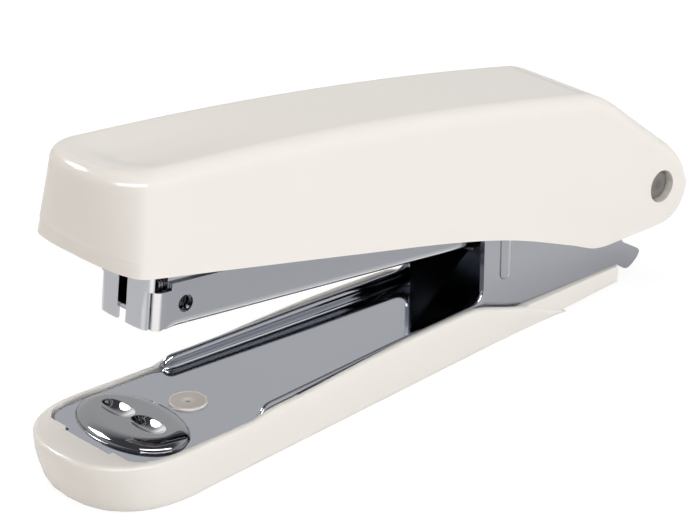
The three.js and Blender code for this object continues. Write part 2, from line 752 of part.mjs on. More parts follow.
function stapleRail() {
  const bottom = channelFloor + SHEET_GAP;
  const section = trough(railOuter, MAGAZINE_SHEET, bottom, RAIL_TOP);
  const behindLip = channelFront + MAGAZINE_CORNER + SHEET_GAP;
  const body = sectionBar(section, [behindLip, -RAIL_REAR]);
  const overLip = MAGAZINE_NOTCH_FOOT + SHEET_GAP;
  const arms = pairOfSlabs(
    [railFaceBack - MAGAZINE_SHEET / 2, behindLip + 1],
    [railInner, railOuter],
    [overLip, RAIL_TOP],
  );
  const lowerFace = planPlate(railFacePlan(lipInner - RUNNING_GAP), [-MAGAZINE_BOTTOM, overLip + 0.1], 6);
  const upperFace = planPlate(railFacePlan(railOuter), [overLip, RAIL_FACE_TOP], 6);
  const slot = slab(
    [-MAGAZINE_LENGTH - 1, railFaceBack + 0.3],
    RAIL_SLOT_HALF,
    [-MAGAZINE_BOTTOM - 1, RAIL_SLOT_TOP],
  );
  const exit = slab([behindLip - 1, stripFront], railInner, [bottom - 1, stripFoot]);
  return joined([body.subtract(exit), arms, lowerFace, upperFace]).subtract(slot).subtract(sideHole);
}

function stapleStrip() {
  const legs = slab([stripFront, stripRear], STAPLE_HALF, [stripFoot, stripTop]);
  const hollow = slab(
    [stripFront - 1, stripRear + 1],
    STAPLE_HALF - STAPLE_WIRE,
    [railFloor - 1, stripTop - STAPLE_WIRE],
  );
  return legs.subtract(hollow);
}

function pusher() {
  const rear = pusherFront + PUSHER_LENGTH;
  const block = slab([pusherFront, rear], STAPLE_HALF, [stripFoot, stripTop]);
  const hollow = slab(
    [pusherFront + PUSHER_SHEET, rear + 1],
    STAPLE_HALF - PUSHER_SHEET,
    [railFloor - 1, stripTop - PUSHER_SHEET],
  );
  const rodHole = lengthwiseCylinder(ROD_RADIUS + SLIDING_GAP, [pusherFront - 1, rear], 0, ROD_Z);
  return block.subtract(hollow).subtract(rodHole);
}

function guideRod() {
  return lengthwiseCylinder(ROD_RADIUS, [stripFront + 1, anchorRear - 1], 0, ROD_Z);
}

function rodAnchor() {
  const block = slab([-ANCHOR_FRONT, anchorRear], STAPLE_HALF, [stripFoot, stripTop]);
  const socket = lengthwiseCylinder(
    ROD_RADIUS + RUNNING_GAP,
    [-ANCHOR_FRONT - 1, anchorRear - 1 + RUNNING_GAP],
    0,
    ROD_Z,
  );
  return block.subtract(socket);
}

class Helix extends THREE.Curve {
  constructor(radius, x0, x1, z, turns) {
    super();
    Object.assign(this, { radius, x0, x1, z, turns });
  }

  getPoint(t, target = new THREE.Vector3()) {
    const angle = t * this.turns * 2 * Math.PI;
    const y = this.radius * Math.cos(angle);
    const z = this.z + this.radius * Math.sin(angle);
    return target.set(lerp(this.x0, this.x1, t), y, z);
  }
}

function pusherSpring() {
  const front = pusherFront + PUSHER_SHEET + SPRING_WIRE + RUNNING_GAP;
  const rear = -ANCHOR_FRONT - SPRING_WIRE - RUNNING_GAP;
  const path = new Helix(SPRING_RADIUS, front, rear, ROD_Z, SPRING_TURNS);
  const section = new THREE.Shape().absarc(0, 0, SPRING_WIRE, 0, 2 * Math.PI, false);
  const geometry = new THREE.ExtrudeGeometry(section, {
    steps: SPRING_TURNS * 9,
    extrudePath: path,
    curveSegments: 3,
  });
  return solid(geometry);
}

function pivotBush() {
  const half = channelInner - RUNNING_GAP;
  const outer = PIN_RADIUS + RUNNING_GAP + BUSH_WALL;
  return acrossCylinder(outer, [-half, half], 0, 0, 28).subtract(pinHole);
}

// ---- Handle -------------------------------------------------------------------------------------

function coverCrest(x) {
  return COVER_CREST - (x + COVER_CREST_X) ** 2 / (2 * COVER_CREST_RADIUS);
}

function coverSlope(x) {
  return coverCrest(-COVER_BEND_X) - (x + COVER_BEND_X) * Math.tan(radians(COVER_SLOPE));
}

function coverHalf(z) {
  return coverHalfWidth - Math.max(z - COVER_KNEE, 0) * Math.tan(radians(COVER_SIDE_LEAN));
}

// The cover's outside, or with an inset its inside, before the ends are trimmed.
function coverBlock(inset) {
  const round = COVER_EDGE_RADIUS;
  const edge = [0, 22.5, 45, 67.5, 90].map((degrees) => {
    const angle = radians(degrees);
    return [round * (1 - Math.cos(angle)), round * (1 - Math.sin(angle))];
  });
  const levels = [[30, 0], [18, 0], [15, 0], [12, 0], [6, 0], ...edge.reverse()];
  const rings = levels.map(([depth, pull]) => {
    const noseZ = coverCrest(coverFront) - inset - depth;
    const share = THREE.MathUtils.clamp(depth / (COVER_CREST - COVER_KNEE), 0, 1);
    const tip = -coverFront + noseZ * Math.tan(radians(COVER_NOSE_LEAN)) - inset - pull;
    const front = nose(
      tip,
      coverHalf(noseZ) - inset - pull,
      lerp(...COVER_NOSE_LENGTH, share),
      lerp(...COVER_NOSE_POWER, share),
    );
    const flank = Array.from({ length: COVER_STATIONS }, (_, i) => {
      const x = lerp(10, coverFront + COVER_NOSE_LENGTH[0] + 8, i / (COVER_STATIONS - 1));
      return [x, coverHalf(coverCrest(x) - inset - depth) - inset - pull];
    });
    const ring = [...flank, ...front, ...flank.map(([x, y]) => [x, -y]).reverse()];
    return ring.map(([x, y]) => new THREE.Vector3(x, y, coverCrest(x) - inset - depth));
  });
  return loft(rings);
}

// The cover from the side: the lower edge, the round rear end and the rear slope.
function coverProfile() {
  const shape = new THREE.Shape();
  shape.moveTo(coverFront - 5, COVER_CREST + 5);
  shape.lineTo(coverFront - 5, 2.7);
  shape.lineTo(coverFront, 2.4);
  shape.splineThru(
    [
      [-80, 1.05],
      [-60, -0.4],
      [-42, -1.8],
      [-30, -3.4],
      [-18, -6.1],
      [-12.5, -7.4],
      [-6.5, -6.8],
      [1, -5.75],
    ].map(([x, z]) => new THREE.Vector2(x, z)),
  );
  shape.quadraticCurveTo(4.7, -5, 5.2, -1.8);
  shape.quadraticCurveTo(5.7, 2, 3.8, 4.2);
  shape.quadraticCurveTo(2.8, 5.3, 0.5, coverSlope(0.5));
  shape.lineTo(-COVER_BEND_X + 1.5, coverSlope(-COVER_BEND_X + 1.5));
  shape.quadraticCurveTo(
    -COVER_BEND_X,
    coverCrest(-COVER_BEND_X),
    -COVER_BEND_X - 2,
    coverCrest(-COVER_BEND_X - 2) + 0.02,
  );
  shape.lineTo(-COVER_BEND_X - 2, COVER_CREST + 5);
  return shape;
}

function handleCover() {
  const outside = coverBlock(0).intersect(sidePlate(coverProfile(), rightAcross, 4));
  const under = COVER_WALL / Math.cos(radians(COVER_SLOPE));
  const hollowSide = outline([
    [coverFront - 5, -20],
    [12, -20],
    [12, COVER_REAR_EDGE],
    ...[COVER_REAR_EDGE, COVER_CREST].map((z) => {
      return [(coverSlope(0) - under - z) / Math.tan(radians(COVER_SLOPE)), z];
    }),
    [coverFront - 5, COVER_CREST],
  ]);
  const hollow = coverBlock(COVER_WALL).intersect(sidePlate(hollowSide, rightAcross));
  const windows = acrossCylinder(PIN_RADIUS + PIN_WINDOW_GAP, rightAcross);
  const ribHalf = coverHalf(COVER_CREST) - COVER_WALL / 2;
  const ribs = COVER_RIBS_X.map((x) => {
    const xs = [-x - COVER_RIB / 2, -x + COVER_RIB / 2];
    return slab(xs, ribHalf, [FRAME_ROOF + SEAT_GAP, coverCrest(-x) - COVER_WALL / 2]);
  });
  return joined([outside.subtract(hollow).subtract(windows), ...ribs]);
}

const flangeFoot = FRAME_ROOF - FRAME_FLANGE_DEPTH;
const driverFoot = stripTop + SHEET_GAP - MAGAZINE_LENGTH * Math.sin(radians(DRIVER_LEAN));
const driverRivetZ = flangeFoot + DRIVER_RIVET_HEAD;

function driverRivetHoles() {
  const reach = [driverFront - 1, frameFront + FRAME_SHEET + 0.5];
  return [-DRIVER_RIVET_Y, DRIVER_RIVET_Y].map((y) =>
    lengthwiseCylinder(DRIVER_RIVET_RADIUS + RUNNING_GAP, reach, y, driverRivetZ),
  );
}

function handleFrame() {
  const side = new THREE.Shape();
  side.moveTo(frameFront, flangeFoot);
  side.lineTo(-40, 1);
  side.lineTo(-14, -3.2);
  side.lineTo(-4, -LUG_RADIUS + 0.6);
  side.absarc(0, 0, LUG_RADIUS, radians(-100), radians(80), false);
  side.lineTo(-FRAME_ROOF_REAR + 1, FRAME_ROOF - 1);
  side.lineTo(-FRAME_ROOF_REAR, FRAME_ROOF);
  side.lineTo(frameFront, FRAME_ROOF);
  const sides = sidePlate(side, [frameInner, frameOuter], 6);
  const roof = slab(
    [frameFront, -FRAME_ROOF_REAR],
    frameOuter,
    [FRAME_ROOF - FRAME_SHEET, FRAME_ROOF],
  );
  const flange = slab([frameFront, frameFront + FRAME_SHEET], driverHalf, [flangeFoot, FRAME_ROOF]);
  const springHole = uprightCylinder(
    SPRING_RIVET_RADIUS + RUNNING_GAP,
    [FRAME_ROOF - 2, FRAME_ROOF + 1],
    -HANDLE_SPRING_RIVET_X,
  );
  return joined([sides, sides.mirror([0, 1, 0]), roof, flange])
    .subtract(joined(driverRivetHoles()))
    .subtract(springHole)
    .subtract(pinHole);
}

function driverBlade() {
  const blade = slab([driverFront, driverBack], driverHalf, [driverFoot, FRAME_ROOF]);
  return blade.subtract(joined(driverRivetHoles()));
}

function driverRivet(y) {
  const headAt = frameFront + FRAME_SHEET + SHEET_GAP;
  const head = lengthwiseCylinder(DRIVER_RIVET_HEAD, [headAt, headAt + 0.5], y, driverRivetZ);
  return lengthwiseCylinder(DRIVER_RIVET_RADIUS, [driverFront, headAt + 0.1], y, driverRivetZ).add(head);
}

function handleSpring() {
  const flat = FRAME_ROOF - FRAME_SHEET - SHEET_GAP;
  const lean = radians(DRIVER_LEAN);
  const tip = RAIL_TOP - HANDLE_SPRING_TIP_X * Math.sin(lean) + SEAT_GAP + LEAF_SHEET;
  const strip = leaf(
    [
      [-HANDLE_SPRING_RIVET_X + 4, flat],
      [-HANDLE_SPRING_RIVET_X - 4, flat],
      [-HANDLE_SPRING_RIVET_X - 6, flat - 0.3],
      [-HANDLE_SPRING_TIP_X + 2, tip + 0.4],
      [-HANDLE_SPRING_TIP_X, tip],
      [-HANDLE_SPRING_TIP_X - 2.5, tip + 0.7],
    ],
    HANDLE_SPRING_HALF,
  );
  const hole = uprightCylinder(
    SPRING_RIVET_RADIUS + RUNNING_GAP,
    [flat - 2, flat + 1],
    -HANDLE_SPRING_RIVET_X,
  );
  return strip.subtract(hole);
}

function handleSpringRivet() {
  const bottom = FRAME_ROOF - FRAME_SHEET - 2 * SHEET_GAP - LEAF_SHEET;
  return sheetRivet(-HANDLE_SPRING_RIVET_X, [bottom, FRAME_ROOF + SHEET_GAP]);
}

// ---- Assembly -----------------------------------------------------------------------------------

const base = new THREE.Group();
base.add(
  piece("base_cover", baseCover(), IVORY),
  piece("base_frame", baseFrame(), CHROME),
  piece("anvil", anvil(), CHROME),
  piece("base_rivet", baseRivet(), WHITE_NYLON),
  piece("base_spring", baseSpring(), SPRING_STEEL),
  piece("base_spring_rivet", baseSpringRivet(), STEEL),
  piece("pivot_pin", pivotPin(), STEEL),
  piece("pin_retainer", pinRetainer(), STEEL),
);

const magazine = new THREE.Group();
magazine.add(
  piece("magazine_channel", magazineChannel(), CHROME),
  piece("staple_rail", stapleRail(), CHROME),
  piece("staple_strip", stapleStrip(), STAPLE_STEEL),
  piece("pusher", pusher(), STEEL),
  piece("pusher_spring", pusherSpring(), SPRING_STEEL),
  piece("guide_rod", guideRod(), STEEL),
  piece("rod_anchor", rodAnchor(), WHITE_NYLON),
  piece("pivot_bush", pivotBush(), STEEL),
);

const handle = new THREE.Group();
handle.add(
  piece("handle_cover", handleCover(), IVORY),
  piece("handle_frame", handleFrame(), CHROME),
  piece("driver_blade", driverBlade(), STEEL),
  piece("driver_rivet_near", driverRivet(-DRIVER_RIVET_Y), STEEL),
  piece("driver_rivet_far", driverRivet(DRIVER_RIVET_Y), STEEL),
  piece("handle_spring", handleSpring(), SPRING_STEEL),
  piece("handle_spring_rivet", handleSpringRivet(), STEEL),
);

base.rotation.y = radians(BASE_PITCH);
magazine.rotation.y = radians(BASE_PITCH + MAGAZINE_LIFT);
handle.rotation.y = radians(BASE_PITCH + MAGAZINE_LIFT + DRIVER_LEAN);

const stapler = new THREE.Group();
stapler.add(base, magazine, handle);
stapler.position.z = PIN_HEIGHT;
stapler.updateMatrixWorld(true);
const extent = new THREE.Box3().setFromObject(stapler, true);
stapler.position.x = -(extent.min.x + extent.max.x) / 2;

export default stapler;
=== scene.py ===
import json
import math

import bmesh
import bpy
from mathutils import Matrix, Vector


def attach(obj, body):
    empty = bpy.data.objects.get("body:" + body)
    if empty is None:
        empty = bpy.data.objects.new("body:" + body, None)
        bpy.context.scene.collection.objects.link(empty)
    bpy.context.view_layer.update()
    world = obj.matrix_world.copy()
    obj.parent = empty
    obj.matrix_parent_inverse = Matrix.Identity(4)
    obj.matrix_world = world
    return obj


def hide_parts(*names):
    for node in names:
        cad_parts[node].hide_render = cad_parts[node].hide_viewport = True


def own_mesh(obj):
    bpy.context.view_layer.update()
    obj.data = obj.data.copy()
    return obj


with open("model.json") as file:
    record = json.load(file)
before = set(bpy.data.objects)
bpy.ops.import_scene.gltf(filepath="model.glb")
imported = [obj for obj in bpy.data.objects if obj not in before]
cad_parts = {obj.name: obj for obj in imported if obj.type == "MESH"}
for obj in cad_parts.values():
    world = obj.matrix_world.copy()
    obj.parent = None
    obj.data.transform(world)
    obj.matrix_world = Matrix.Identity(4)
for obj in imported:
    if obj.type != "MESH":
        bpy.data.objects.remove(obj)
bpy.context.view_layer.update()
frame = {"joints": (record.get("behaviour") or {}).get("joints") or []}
pin = Vector(frame["joints"][0]["pos_m"])


# ---- Base cover ---------------------------------------------------------------------------------
# The shoe under the stapler: one moulding in ivory ABS with a satin gloss. The steel base plate
# drops into its pocket and is held by a plastic rivet; the wall stands up around the plate, higher
# beside the flanges, and runs out to a thin tail at the rear.

MM = 0.001  # pieces are drawn in millimetres about the pin, with +X to the rear and +Z up
LEANS = {"base": 1.78}  # degrees that each body leans up to the front


def fine_variation():
    """Node group: slow and fine variation over a moulded or plated surface, from object space."""
    group = bpy.data.node_groups.new("FineVariation", "ShaderNodeTree")
    face = group.interface
    for name, value in (("Slow Scale", 60.0), ("Fine Scale", 2500.0)):
        face.new_socket(name, in_out="INPUT", socket_type="NodeSocketFloat").default_value = value
    for name in ("Slow", "Fine"):
        face.new_socket(name, in_out="OUTPUT", socket_type="NodeSocketFloat")
    nodes, links = group.nodes, group.links
    inside = nodes.new("NodeGroupInput")
    outside = nodes.new("NodeGroupOutput")
    where = nodes.new("ShaderNodeTexCoord")
    for name, detail in (("Slow", 2.0), ("Fine", 3.0)):
        noise = nodes.new("ShaderNodeTexNoise")
        noise.inputs["Detail"].default_value = detail
        links.new(where.outputs["Object"], noise.inputs["Vector"])
        links.new(inside.outputs[name + " Scale"], noise.inputs["Scale"])
        links.new(noise.outputs["Fac"], outside.inputs[name])
    return group


variation = fine_variation()


def finish_of(name, colour, other, edge, roughness, bump, scales=(60, 2500), metallic=0.0):
    """A material that varies between two colours and takes the edge colour, a painted highlight,
    where the surface turns round. Roughness is its least and most; bump is its strength and its
    depth in metres."""
    material = bpy.data.materials.new(name)
    material.use_nodes = True
    nodes, links = material.node_tree.nodes, material.node_tree.links
    shader = nodes["Principled BSDF"]
    shader.inputs["Metallic"].default_value = metallic
    vary = nodes.new("ShaderNodeGroup")
    vary.node_tree = variation
    vary.inputs["Slow Scale"].default_value = scales[0]
    vary.inputs["Fine Scale"].default_value = scales[1]
    tint = nodes.new("ShaderNodeMix")
    tint.data_type = "RGBA"
    tint.inputs["A"].default_value = (*colour, 1)
    tint.inputs["B"].default_value = (*other, 1)
    links.new(vary.outputs["Slow"], tint.inputs["Factor"])
    # painted highlight: the edge colour is mixed in where the surface turns round
    turning = nodes.new("ShaderNodeAttribute")
    turning.attribute_name = "turning"
    polish_and_highlight = nodes.new("ShaderNodeMix")
    polish_and_highlight.data_type = "RGBA"
    polish_and_highlight.inputs["B"].default_value = (*edge, 1)
    links.new(turning.outputs["Fac"], polish_and_highlight.inputs["Factor"])
    links.new(tint.outputs["Result"], polish_and_highlight.inputs["A"])
    links.new(polish_and_highlight.outputs["Result"], shader.inputs["Base Color"])
    rough = nodes.new("ShaderNodeMapRange")
    rough.inputs["To Min"].default_value = roughness[0]
    rough.inputs["To Max"].default_value = roughness[1]
    links.new(vary.outputs["Fine"], rough.inputs["Value"])
    links.new(rough.outputs["Result"], shader.inputs["Roughness"])
    grain = nodes.new("ShaderNodeBump")
    grain.inputs["Strength"].default_value = bump[0]
    grain.inputs["Distance"].default_value = bump[1]
    links.new(vary.outputs["Fine"], grain.inputs["Height"])
    links.new(grain.outputs["Normal"], shader.inputs["Normal"])
    return material


ivory = finish_of(
    "ivory_abs",
    colour=(0.845, 0.822, 0.782),
    other=(0.825, 0.8, 0.757),
    # painted highlight: a lighter ivory on the rounded edges
    edge=(0.87, 0.85, 0.815),
    roughness=(0.26, 0.36),
    bump=(0.05, 2e-5),
)
moulded_gloss = ivory.node_tree.nodes["Principled BSDF"].inputs
moulded_gloss["Specular IOR Level"].default_value = 0.2
moulded_gloss["Coat Weight"].default_value = 0.7
moulded_gloss["Coat Roughness"].default_value = 0.06


def clamp(value, low=0, high=1):
    return min(max(value, low), high)


def spread(start, stop, count):
    """Evenly spaced values from start to stop, both included."""
    return [start + (stop - start) * i / count for i in range(count + 1)]


def bent_grid(bm, rows):
    """A grid whose vertices are moved, row by row, onto these rows of points."""
    grid = bmesh.ops.create_grid(
        bm, x_segments=len(rows[0]) - 1, y_segments=len(rows) - 1, size=1
    )["verts"]
    for vert, point in zip(grid, [point for row in rows for point in row]):
        vert.co = point
    return grid


def both_sides(bm):
    """Mirrors what stands on one side of the middle to the other side, and closes the seam."""
    everything = bm.verts[:] + bm.edges[:] + bm.faces[:]
    bmesh.ops.mirror(bm, geom=everything, matrix=Matrix(), merge_dist=0.001, axis="Y")
    bmesh.ops.remove_doubles(bm, verts=bm.verts, dist=0.002)
    bmesh.ops.recalc_face_normals(bm, faces=bm.faces)


def close_holes(bm):
    """Fills every open edge loop with one face."""
    bmesh.ops.holes_fill(bm, edges=[e for e in bm.edges if e.is_boundary], sides=0)


def mark_turning(bm):
    """Stores at each vertex, from 0 to 1, how tightly the surface turns outwards there, where the
    finishes paint their highlight.
    """
    crease, tightest = 0.7, 0.55  # radians at one edge, and radians for each millimetre
    layer = bm.verts.layers.float.new("turning")
    for vert in bm.verts:
        area = sum(face.calc_area() for face in vert.link_faces) / 4
        turn = 0.0
        for edge in vert.link_edges:
            if len(edge.link_faces) == 2:
                angle = edge.calc_face_angle_signed(0)
                turn += angle * edge.calc_length() if abs(angle) < crease else 0.0
        vert[layer] = clamp(turn / max(area, 1e-4) / 4 / tightest) ** 1.5
    return layer


def put_in_place(bm, name, material, body, node, sharp=35, mark=True):
    """Millimetres about the pin become the piece, in metres, leaning with its body."""
    if mark:
        mark_turning(bm)
    place = Matrix.Translation(pin) @ Matrix.Rotation(math.radians(LEANS[body]), 4, "Y")
    bmesh.ops.transform(bm, matrix=place @ Matrix.Scale(MM, 4), verts=bm.verts)
    mesh = bpy.data.meshes.new(name)
    bm.to_mesh(mesh)
    bm.free()
    mesh.materials.append(material)
    mesh.shade_smooth()
    mesh.set_sharp_from_angle(angle=math.radians(sharp))
    piece = bpy.data.objects.new(name, mesh)
    bpy.context.scene.collection.objects.link(piece)
    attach(piece, body)
    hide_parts(node)
    return piece


def soft_edges(piece, width, segments=3, angle=35):
    """Rounds the piece's sharp edges and lets its flat faces stay flat."""
    bevel = piece.modifiers.new("soft_edges", "BEVEL")
    bevel.width = width * MM
    bevel.segments = segments
    bevel.limit_method = "ANGLE"
    bevel.angle_limit = math.radians(angle)
    bevel.harden_normals = True


def along_curve(points, x):
    """Height at x of a smooth line through points that run along x."""
    if x <= points[0][0]:
        return points[0][1]
    for i in range(len(points) - 1):
        (x0, z0), (x1, z1) = points[i], points[i + 1]
        if x <= x1:
            before = points[max(i - 1, 0)]
            after = points[min(i + 2, len(points) - 1)]
            m0 = (z1 - before[1]) / max(x1 - before[0], 1e-9)
            m1 = (after[1] - z0) / max(after[0] - x0, 1e-9)
            t = (x - x0) / (x1 - x0)
            h = x1 - x0
            return (
                (1 + 2 * t) * (1 - t) ** 2 * z0
                + t * (1 - t) ** 2 * h * m0
                + t * t * (3 - 2 * t) * z1
                - t * t * (1 - t) * h * m1
            )
    return points[-1][1]


def rounded_nose(tip, half, length, power, share):
    """A point of a blunt nose seen from above: share 0 is its middle and 1 its widest place."""
    angle = share * math.pi / 2
    along = max(math.cos(angle), 0) ** (2 / power)
    across = max(math.sin(angle), 0) ** (2 / power)
    return tip + length * (1 - along), -half * across


def table_level(x):
    """Height of the table under the leaning base."""
    slant = math.radians(LEANS["base"])
    return (x * math.sin(slant) - pin.z / MM) / math.cos(slant)


PLATE_TOP = -10.8
RIM = PLATE_TOP + 0.5
CHEEK = PLATE_TOP + 2.25  # the rim where it stands up beside the flanges
LEDGE = PLATE_TOP - 1.1  # the pocket's floor, which the plate covers
RIM_ROUNDING, RIM_CORNER = 0.6, 0.22  # of the rim's outer and inner edge
BASE_TIP, BASE_HALF, BASE_NOSE, BASE_BLUNTNESS = -102.7, 11.35, 12, 2.35
TAPER_START, TAPER = -90.7, 2.2  # from here to the rear walls each side draws in by the taper
POCKET_HALF = 10.4
FLANGE_START, WALL_START = -76.86, -33.3  # the plate's flanges begin and end as the rear walls
NARROWING = 2.21  # of each side of the plate between them
TAIL_TOP = -11.72
rim_line = [(-78.2, RIM), (-77.4, RIM), (-75.8, RIM + 0.5), (-70, RIM + 0.7), (-62, RIM + 1.2)]
rim_line += [(-55, CHEEK - 0.2), (-49.9, CHEEK), (-38.3, CHEEK), (-35.3, CHEEK - 0.2)]
rim_line += [(-28.4, PLATE_TOP - 0.1), (-23.4, -12.3), (-18.2, -14.6), (-16.9, -15.2)]
# the pocket's edge from the middle of its front, round the plate's corner and back along its side
pocket_front = [(-97.8, 0), (-97.8, -2.4), (-97.8, -4.7), (-97.74, -4.8), (-97.16, -4.85)]
pocket_front += [(-97.1, -4.95), (-97.1, -6.6), (-97.1, -8), (-96.5, -8.75), (-95.7, -9.6)]
pocket_front += [(-94.6, -10), (-93.5, -10.25), (-92, -10.35), (-90.5, -POCKET_HALF)]
pocket_side = spread(-86, -34, 26)
pocket_side += [WALL_START, -32.4, -31, -29, -27, -25, -23, -21.4, -19.8, -18.2, -16.9]
# height of the wall's outer face above the table, and how far it stands in at nose and side
wall_face = [(0, 2.6, 0.9), (0.5, 1.8, 0.4), (1, 1.45, 0.3), (1.6, 1.2, 0.25), (3.4, 0.6, 0.1)]
wall_face += [(5.4, 0.15, 0)]
WALL_FACE_TOP = 6.2


def base_column(x, y, share):
    """One line over the wall, from under its foot over the rim and down to the pocket's middle.
    Share tells how far round the nose it stands, and is None along the side."""

    def outer(nose_inset, side_inset):
        if share is not None:
            half = BASE_HALF - side_inset
            return rounded_nose(BASE_TIP + nose_inset, half, BASE_NOSE, BASE_BLUNTNESS, share)
        half = BASE_HALF - TAPER * max((x - TAPER_START) / (WALL_START - TAPER_START), 0)
        return x, -half + side_inset

    rim = RIM if share is not None else along_curve(rim_line, x)
    rounding = min(RIM_ROUNDING, 0.45 * (rim - table_level(x)))
    top = rim - rounding
    # the underside is recessed by half a millimetre inside its foot, and runs out under the tail
    ox, oy = outer(4.4, 2.4)
    recess = max(0.5 * min((-24 - x) / 5, 1), 0.04)
    column = [(ox, oy, table_level(ox) + recess)]
    for height, nose_inset, side_inset in wall_face:
        ox, oy = outer(nose_inset, side_inset)
        foot = table_level(ox)
        z = min(foot + height, foot + (top - foot) * (height / WALL_FACE_TOP))
        column.append((ox, oy, z))
    for turn in spread(0, 90, 4):
        a = math.radians(turn)
        pull = rounding * (1 - math.cos(a))
        column.append((*outer(pull, pull), top + rounding * math.sin(a)))
    ox, oy = outer(rounding, rounding)
    for t in (0.35, 0.7):
        column.append((ox + (x - ox) * t, oy + (y - oy) * t, rim - 0.03 * t))
    out = Vector((ox - x, oy - y)).normalized()
    for turn in (0, 45, 90):
        a = math.radians(turn)
        step = RIM_CORNER * (1 - math.sin(a))
        fall = min(0.04, rounding / 8) * (2 - math.cos(a))
        column.append((x + out.x * step, y + out.y * step, rim - fall))
    inner_foot = max(min(LEDGE, rim - 0.1), table_level(x) + 0.08)  # keeps a skin at the tail
    column += [(x, y, (rim + inner_foot) / 2)]
    column += [(x, y * t, inner_foot) for t in (1, 0.5, 0)]
    return column


reach = [0.0]  # length along the pocket's front edge
for (x0, y0), (x1, y1) in zip(pocket_front, pocket_front[1:]):
    reach.append(reach[-1] + math.hypot(x1 - x0, y1 - y0))
columns = [base_column(x, y, along / reach[-1]) for (x, y), along in zip(pocket_front, reach)]
for x in pocket_side:
    narrowed = NARROWING * clamp((x - FLANGE_START) / (WALL_START - FLANGE_START))
    narrowed += 0.08 * min((x + 90.5) / 13.6, 1)  # the flange springs from the plate's edge
    columns.append(base_column(x, narrowed - POCKET_HALF, None))
base = bmesh.new()
bent_grid(base, [list(row) for row in zip(*columns)])
both_sides(base)
close_holes(base)
tail = bmesh.ops.create_cube(base, size=1)["verts"]
for vert in tail:
    if vert.co.x > 0:
        x, half, lift = -5.7, 8.1, 0.75
    else:
        x, half, lift = -30, 8.6, 0.3
    z = TAIL_TOP if vert.co.z > 0 else table_level(x) + lift
    vert.co = (x, math.copysign(half, vert.co.y), z)
lengthways = [
    edge
    for edge in dict.fromkeys(e for v in tail for e in v.link_edges)
    if edge.calc_length() > 20 and min(v.co.z for v in edge.verts) > TAIL_TOP - 0.1
]
bmesh.ops.bevel(
    base, geom=lengthways, offset=0.5, segments=2, profile=0.5, affect="EDGES", material=-1
)
bmesh.ops.recalc_face_normals(base, faces=base.faces)
base_cover = put_in_place(
    base, "base_cover_moulding", ivory, "base", "base_cover"
)
soft_edges(base_cover, 0.15, 2, 50)


# ---- Base frame ---------------------------------------------------------------------------------
# The base plate, pressed from one sheet of 0.8 mm steel and chromium plated. Its edges are bent up
# into low flanges that grow into the two rear walls, which carry the pivot pin; a rib is pressed
# into each wall, and the tongue at the rear pulls staples out.

chrome = finish_of(
    "chromed_steel",
    colour=(0.45, 0.467, 0.51),
    other=(0.42, 0.435, 0.475),
    # painted highlight and reflection: blue-white where the plating turns round
    edge=(0.92, 0.955, 1),
    roughness=(0.05, 0.1),
    bump=(0.02, 4e-6),
    scales=(40, 900),
    metallic=1.0,
)
PLATE_SHEET = 0.8
WALL_HALF, WALL_TOP, WALL_FOOT = 7.81, 4.2, -11.6
EAR_RADIUS = 3.9
FLANGE_HEIGHT, FLANGE_RISE = 1.75, 0.35  # at the front, and gained towards the rear
FLANGE_END = -74.9  # in front of this the flange rounds down to the plate
RIB_X, RIB_TOP, RIB_FOOT, RIB_PROUD = -29.1, 3, -5.6, 0.52


def quarter(start, corner, end, steps=6):
    """Points of a rounded corner after its start."""
    points = []
    for i in range(1, steps + 1):
        t = i / steps
        weights = (1 - t) ** 2, 2 * t * (1 - t), t * t
        points.append(
            tuple(sum(w * at for w, at in zip(weights, abc)) for abc in zip(start, corner, end))
        )
    return points


def ear(first, last, step):
    """Points round the pin, between two angles in degrees."""
    turns = [math.radians(a) for a in range(first, last, step)]
    return [(EAR_RADIUS * math.cos(a), EAR_RADIUS * math.sin(a)) for a in turns]


def wall_plan(x):
    """Outer face of the flange and wall, seen from above: it flares out and curls at its front."""
    curl = max(-74.5 - x, 0)
    flare = NARROWING * max(WALL_START - x, 0) / (WALL_START - FLANGE_START)
    return WALL_HALF + flare + 0.05 * curl * curl


def cut_sheet(bm, points, thickness):
    """A flat blank in the plane of these points, drawn out across to its thickness."""
    blank = bm.faces.new([bm.verts.new(p) for p in points])
    drawn = bmesh.ops.extrude_face_region(bm, geom=[blank])["geom"]
    moved = [g for g in drawn if isinstance(g, bmesh.types.BMVert)]
    bmesh.ops.translate(bm, verts=moved, vec=thickness)


# a rear wall from the side: foot, hooked tongue, ear round the pin and front corner
side = [(WALL_START, WALL_FOOT), (-5.6, WALL_FOOT), (-5.4, -11.8), (-4.3, -12.58)]
side += quarter((-4.3, -12.58), (-3.7, -13.0), (-3.0, -12.8)) + [(-2.4, -12.5)]
side += quarter((-2.4, -12.5), (-1.3, -11.8), (-1, -11.1))
side += quarter((-1, -11.1), (-0.75, -10.65), (-1.7, -10.1)) + [(-4.4, -8.5)]
side += quarter((-4.4, -8.5), (-5.4, -7.8), (-4.2, -7.0)) + [(2.18, -3.23)]
side += ear(-48, 91, 8) + [(-2, WALL_TOP), (-31.3, WALL_TOP)]
side += quarter((-31.3, WALL_TOP), (WALL_START, WALL_TOP), (WALL_START, 2.2))
pressing = bmesh.new()
cut_sheet(pressing, [(x, -WALL_HALF, z) for x, z in side], (0, PLATE_SHEET, 0))
bend = [
    e
    for e in pressing.edges
    if all(v.co.z < WALL_FOOT + 0.01 and v.co.y < -7.8 for v in e.verts) and e.calc_length() > 5
]
bmesh.ops.bevel(
    pressing, geom=bend, offset=0.75, segments=6, profile=0.5, affect="EDGES", material=-1
)
